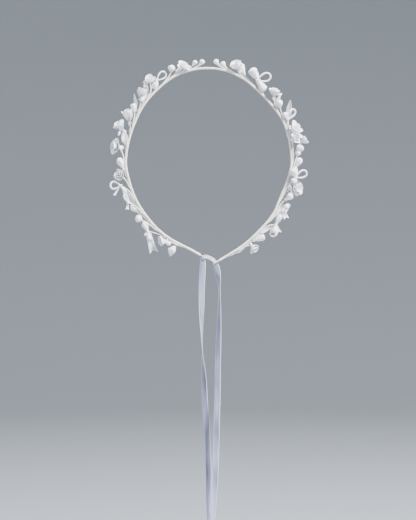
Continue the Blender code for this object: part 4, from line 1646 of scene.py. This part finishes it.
def left_spray() -> Spray:
    """The left side's sprigs."""
    return Spray("left", [
        Bud("left_01_bud", -13, (8.8, 0.6, 7.7), 2.7, 7.5, BudShape.DROP),
        Bud("left_02_bud", -21, (9.4, -1.3, 8.7), 2.5, 6.8, BudShape.DROP),
        Flower("left_03_flower", -33, (7.6, 0.9, 6.4), 6.2, (0.5, 0.9, 0.7), Bloom.PANSY, spin=0.4,
            lobes=[((8.8, -0.8), 2.2), ((-7.5, -5.0), 2.4), ((4.5, -4.5), 2.5), ((-4.5, 0.5), 2.2)]),
        Bud("left_04_round_bud", -43, (5.3, -0.9, 14.1), 3.6, 7.6, BudShape.BALL),
        Bow("left_05_bow", -56, (0.6, 0.3, 7.9), [((8.3, 7.2), 6.8, 10), ((-3.8, -8.0), 6.0, 60)],
            lobes=[((-4.0, -6.5), 1.9)]),
        Rosette("left_06_rosette", -67, (1.1, -1.3, 16.5), 5.2, (0.4, 0.6, 1.0),
            lobes=[((-6.5, -4.0), 1.6), ((-6.0, -8.5), 1.5)]),
        Leaf("left_07_leaf", -76, (4.5, 2.0, 18.3), 4.2),
        Flower("left_08_flower", -83, (2.2, -0.9, 14.0), 4.3, (0.3, 1.0, 0.3), Bloom.GOBLET, cup=1.0,
            lobes=[((-1.5, 6.0), 2.2), ((1.0, -7.0), 1.9)]),
        Leaf("left_09_leaf", -88, (-3.1, 1.6, 20.6), 3.4, (0.5, 0.8, 0.0)),
        Bud("left_10_bud", -96, (-0.6, -0.9, 17.1), 3.2, 9.0, BudShape.TULIP),
        Flower("left_11_flower", -106, (-1.0, 0.9, 13.0), 5.6, (0.5, 0.9, 0.3), Bloom.GOBLET, cup=1.1),
        Flower("left_12_flower", -116, (-6.0, -1.6, 12.6), 5.6, (0.8, 0.7, 0.5), Bloom.CUPPED, cup=0.8,
            lobes=[((-2.5, -8.5), 1.1)]),
        Leaf("left_13_leaf", -124, (-2.0, 2.4, 19.4), 5.5),
        Flower("left_14_flower", -136, (-7.3, -0.6, 13.5), 6.8, (1.0, 0.2, 0.8), Bloom.PANSY, cup=0.6,
            spin=1.1),
        Bud("left_15_teardrop_bud", -151, (-7.8, 0.9, 17.8), 3.8, 14.5, BudShape.DROP),
        Rosette("left_16_rosette", -161, (-9.0, -0.6, 9.8), 6.0, (0.6, 0.3, 1.0)),
        Bow("left_17_bow", -172, (-11.7, -0.9, 10.1), [((-10.0, 0.5), 8.0, 20)], [((-6.5, -10.0), 1.9)],
            lobes=[((6.0, -7.5), 1.8)]),
        Leaf("left_18_leaf", -184, (-16.0, 1.4, 17.0), 6.2),
        Bow("left_19_bow", -190, (-13.2, -1.3, 9.6), [((-3.5, 7.5), 3.4, 30)], [((-0.8, -7.8), 3.0)]),
        Bud("left_20_long_bud", -202, (-18.7, 1.6, 15.9), 3.2, 13.5, BudShape.DROP),
        Bud("left_21_round_bud", -212, (-20.0, -0.6, 12.0), 3.9, 8.2, BudShape.BALL),
        Bow("left_22_bow", -225, (-17.9, 0.9, 6.5), [((-3.5, 9.5), 7.0, 70)], [((6.5, -22.0), 8.5)],
            lobes=[((-3.3, 9.0), 3.9), ((-3.0, -4.5), 1.3), ((2.2, -9.5), 2.7)]),
        Flower("left_23_flower", -238, (-13.2, -1.3, 3.6), 4.2, (0.5, 0.8, 0.5), Bloom.CUPPED, cup=0.8,
            lobes=[((7.0, -3.5), 2.3)]),
        Bud("left_24_bud", -241, (-9.6, 1.6, -10.4), 3.5, 12.5, BudShape.POINTED,
            lobes=[((-0.8, 8.5), 1.5)]),
    ])


def right_spray() -> Spray:
    """The right side's sprigs."""
    return Spray("right", [
        Bud("right_01_bud", 15, (-8.3, -0.6, 8.4), 2.7, 7.5, BudShape.DROP),
        Bud("right_02_bud", 22, (-8.5, 1.3, 8.5), 2.9, 7.2, BudShape.DROP),
        Flower("right_03_flower", 34, (-3.8, -1.6, 7.3), 5.2, (0.5, 0.9, 0.6), Bloom.CUPPED, cup=0.7,
            lobes=[((-6.0, 2.6), 1.8), ((4.0, 4.5), 2.2)]),
        Bud("right_04_rosebud", 45, (-10.8, 2.0, 17.6), 4.2, 12.0, BudShape.TULIP, wraps=4, ridge=0.12),
        Bow("right_05_bow", 60, (-4.4, -0.9, 11.5), [((12.8, 4.6), 8.0, 10), ((-2.0, 8.5), 6.0, 65)],
            [((7.0, -9.5), 8.0)], lobes=[((-6.3, 11.8), 4.6), ((7.0, -11.0), 3.8)]),
        Leaf("right_06_leaf", 78, (8.3, 1.6, 12.9), 4.0, (0.0, 0.4, 1.0)),
        Flower("right_07_flower", 83, (-3.2, -0.9, 15.0), 4.8, (0.7, 0.8, 0.4), Bloom.CUPPED, cup=0.8,
            lobes=[((7.5, -1.0), 1.3), ((-2.5, 3.5), 2.2)]),
        Bud("right_08_round_bud", 95, (-5.8, -1.8, 19.6), 3.8, 8.6, BudShape.BALL),
        Leaf("right_09_leaf", 102, (3.1, 1.6, 26.4), 5.4, (0.5, 1.0, 0.0), sheer=True),
        Bow("right_10_bow", 111, (-2.2, -0.9, 15.4), [((6.4, 9.4), 6.0, 25), ((-3.3, 6.0), 4.5, 45)],
            lobes=[((-2.6, 5.6), 2.0)]),
        Flower("right_11_large_flower", 122, (2.6, 0.9, 14.8), 8.6, (1.0, 0.5, 0.6), Bloom.PANSY, spin=0.6),
        Flower("right_12_flower", 131, (2.1, -2.4, 16.4), 5.4, (0.8, 0.4, 0.8), Bloom.OPEN, cup=0.6),
        Flower("right_13_small_flower", 138, (9.6, 2.0, 21.1), 3.8, (1.0, 0.7, 0.2), Bloom.CUPPED, cup=0.7),
        Bud("right_14_round_bud", 148, (9.3, -0.9, 27.1), 4.0, 11.0, BudShape.KNOBBED),
        Bud("right_15_long_bud", 157, (11.8, 0.9, 23.1), 3.6, 13.0, BudShape.DROP),
        Bow("right_16_bow", 168, (11.2, -3.2, 13.4), [((10.0, 5.5), 7.0, 15), ((-1.0, 10.0), 6.0, 70)],
            lobes=[((-4.5, 8.5), 4.0), ((-3.5, -5.0), 3.2)]),
        Flower("right_17_flower", 175, (13.3, 1.3, 9.8), 7.6, (0.9, 0.3, 0.8), Bloom.FULL, cup=0.7),
        Bud("right_18_bud", 188, (15.1, -1.6, 14.9), 3.6, 10.0, BudShape.DROP),
        Leaf("right_19_leaf", 194, (16.2, 2.8, 10.8), 7.0),
        Bow("right_20_bow", 200, (12.1, -1.3, 10.0), [((5.5, 5.5), 3.6, 40)], [((3.5, -9.0), 5.5)],
            lobes=[((5.0, 4.5), 2.4)]),
        Bow("right_21_bow", 211, (12.2, 0.9, 3.9), [((5.7, 11.5), 6.0, 60), ((-3.0, -11.5), 7.0, 35)],
            [((3.7, -8.5), 5.0)], lobes=[((5.0, 10.5), 3.3), ((-1.5, -8.5), 3.2)]),
        Leaf("right_22_leaf", 219, (14.0, -2.8, 7.5), 3.0),
        Bud("right_23_broad_bud", 234, (17.9, 1.6, 8.8), 4.2, 13.5, BudShape.TULIP),
        Flower("right_24_flower", 240, (11.1, -1.6, 1.6), 3.8, (0.9, 0.1, 0.5), Bloom.CUPPED, cup=0.8,
            lobes=[((-1.8, -7.0), 1.4)]),
        Leaf("right_25_leaf", 252, (13.8, 1.6, 8.2), 2.8),
    ])


def main() -> None:
    """Builds the crown from the band outwards."""
    logging.basicConfig(level=logging.INFO, format="%(message)s")
    palette = Palette()
    line = BandLine()
    LOG.info("band: stations %.1f to %.1f mm", line.end("left"), line.end("right"))
    Studio().build(palette)
    LOG.info("ribbon: %d objects", len(Ribbon().build(palette)))
    LOG.info("tape: %d objects", len(Band().build(line, palette)))
    for side in ("left", "right"):
        LOG.info("%s eye: %d objects", side, len(BackEnd(side).build(line, palette)))
    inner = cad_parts["front_core_wire"]
    inner.data.materials.clear()
    inner.data.materials.append(palette.wire)
    for spray in (left_spray(), right_spray()):
        LOG.info("%s spray: %d objects", spray.side, spray.build(line, palette))


if __name__ == "__main__":
    main()
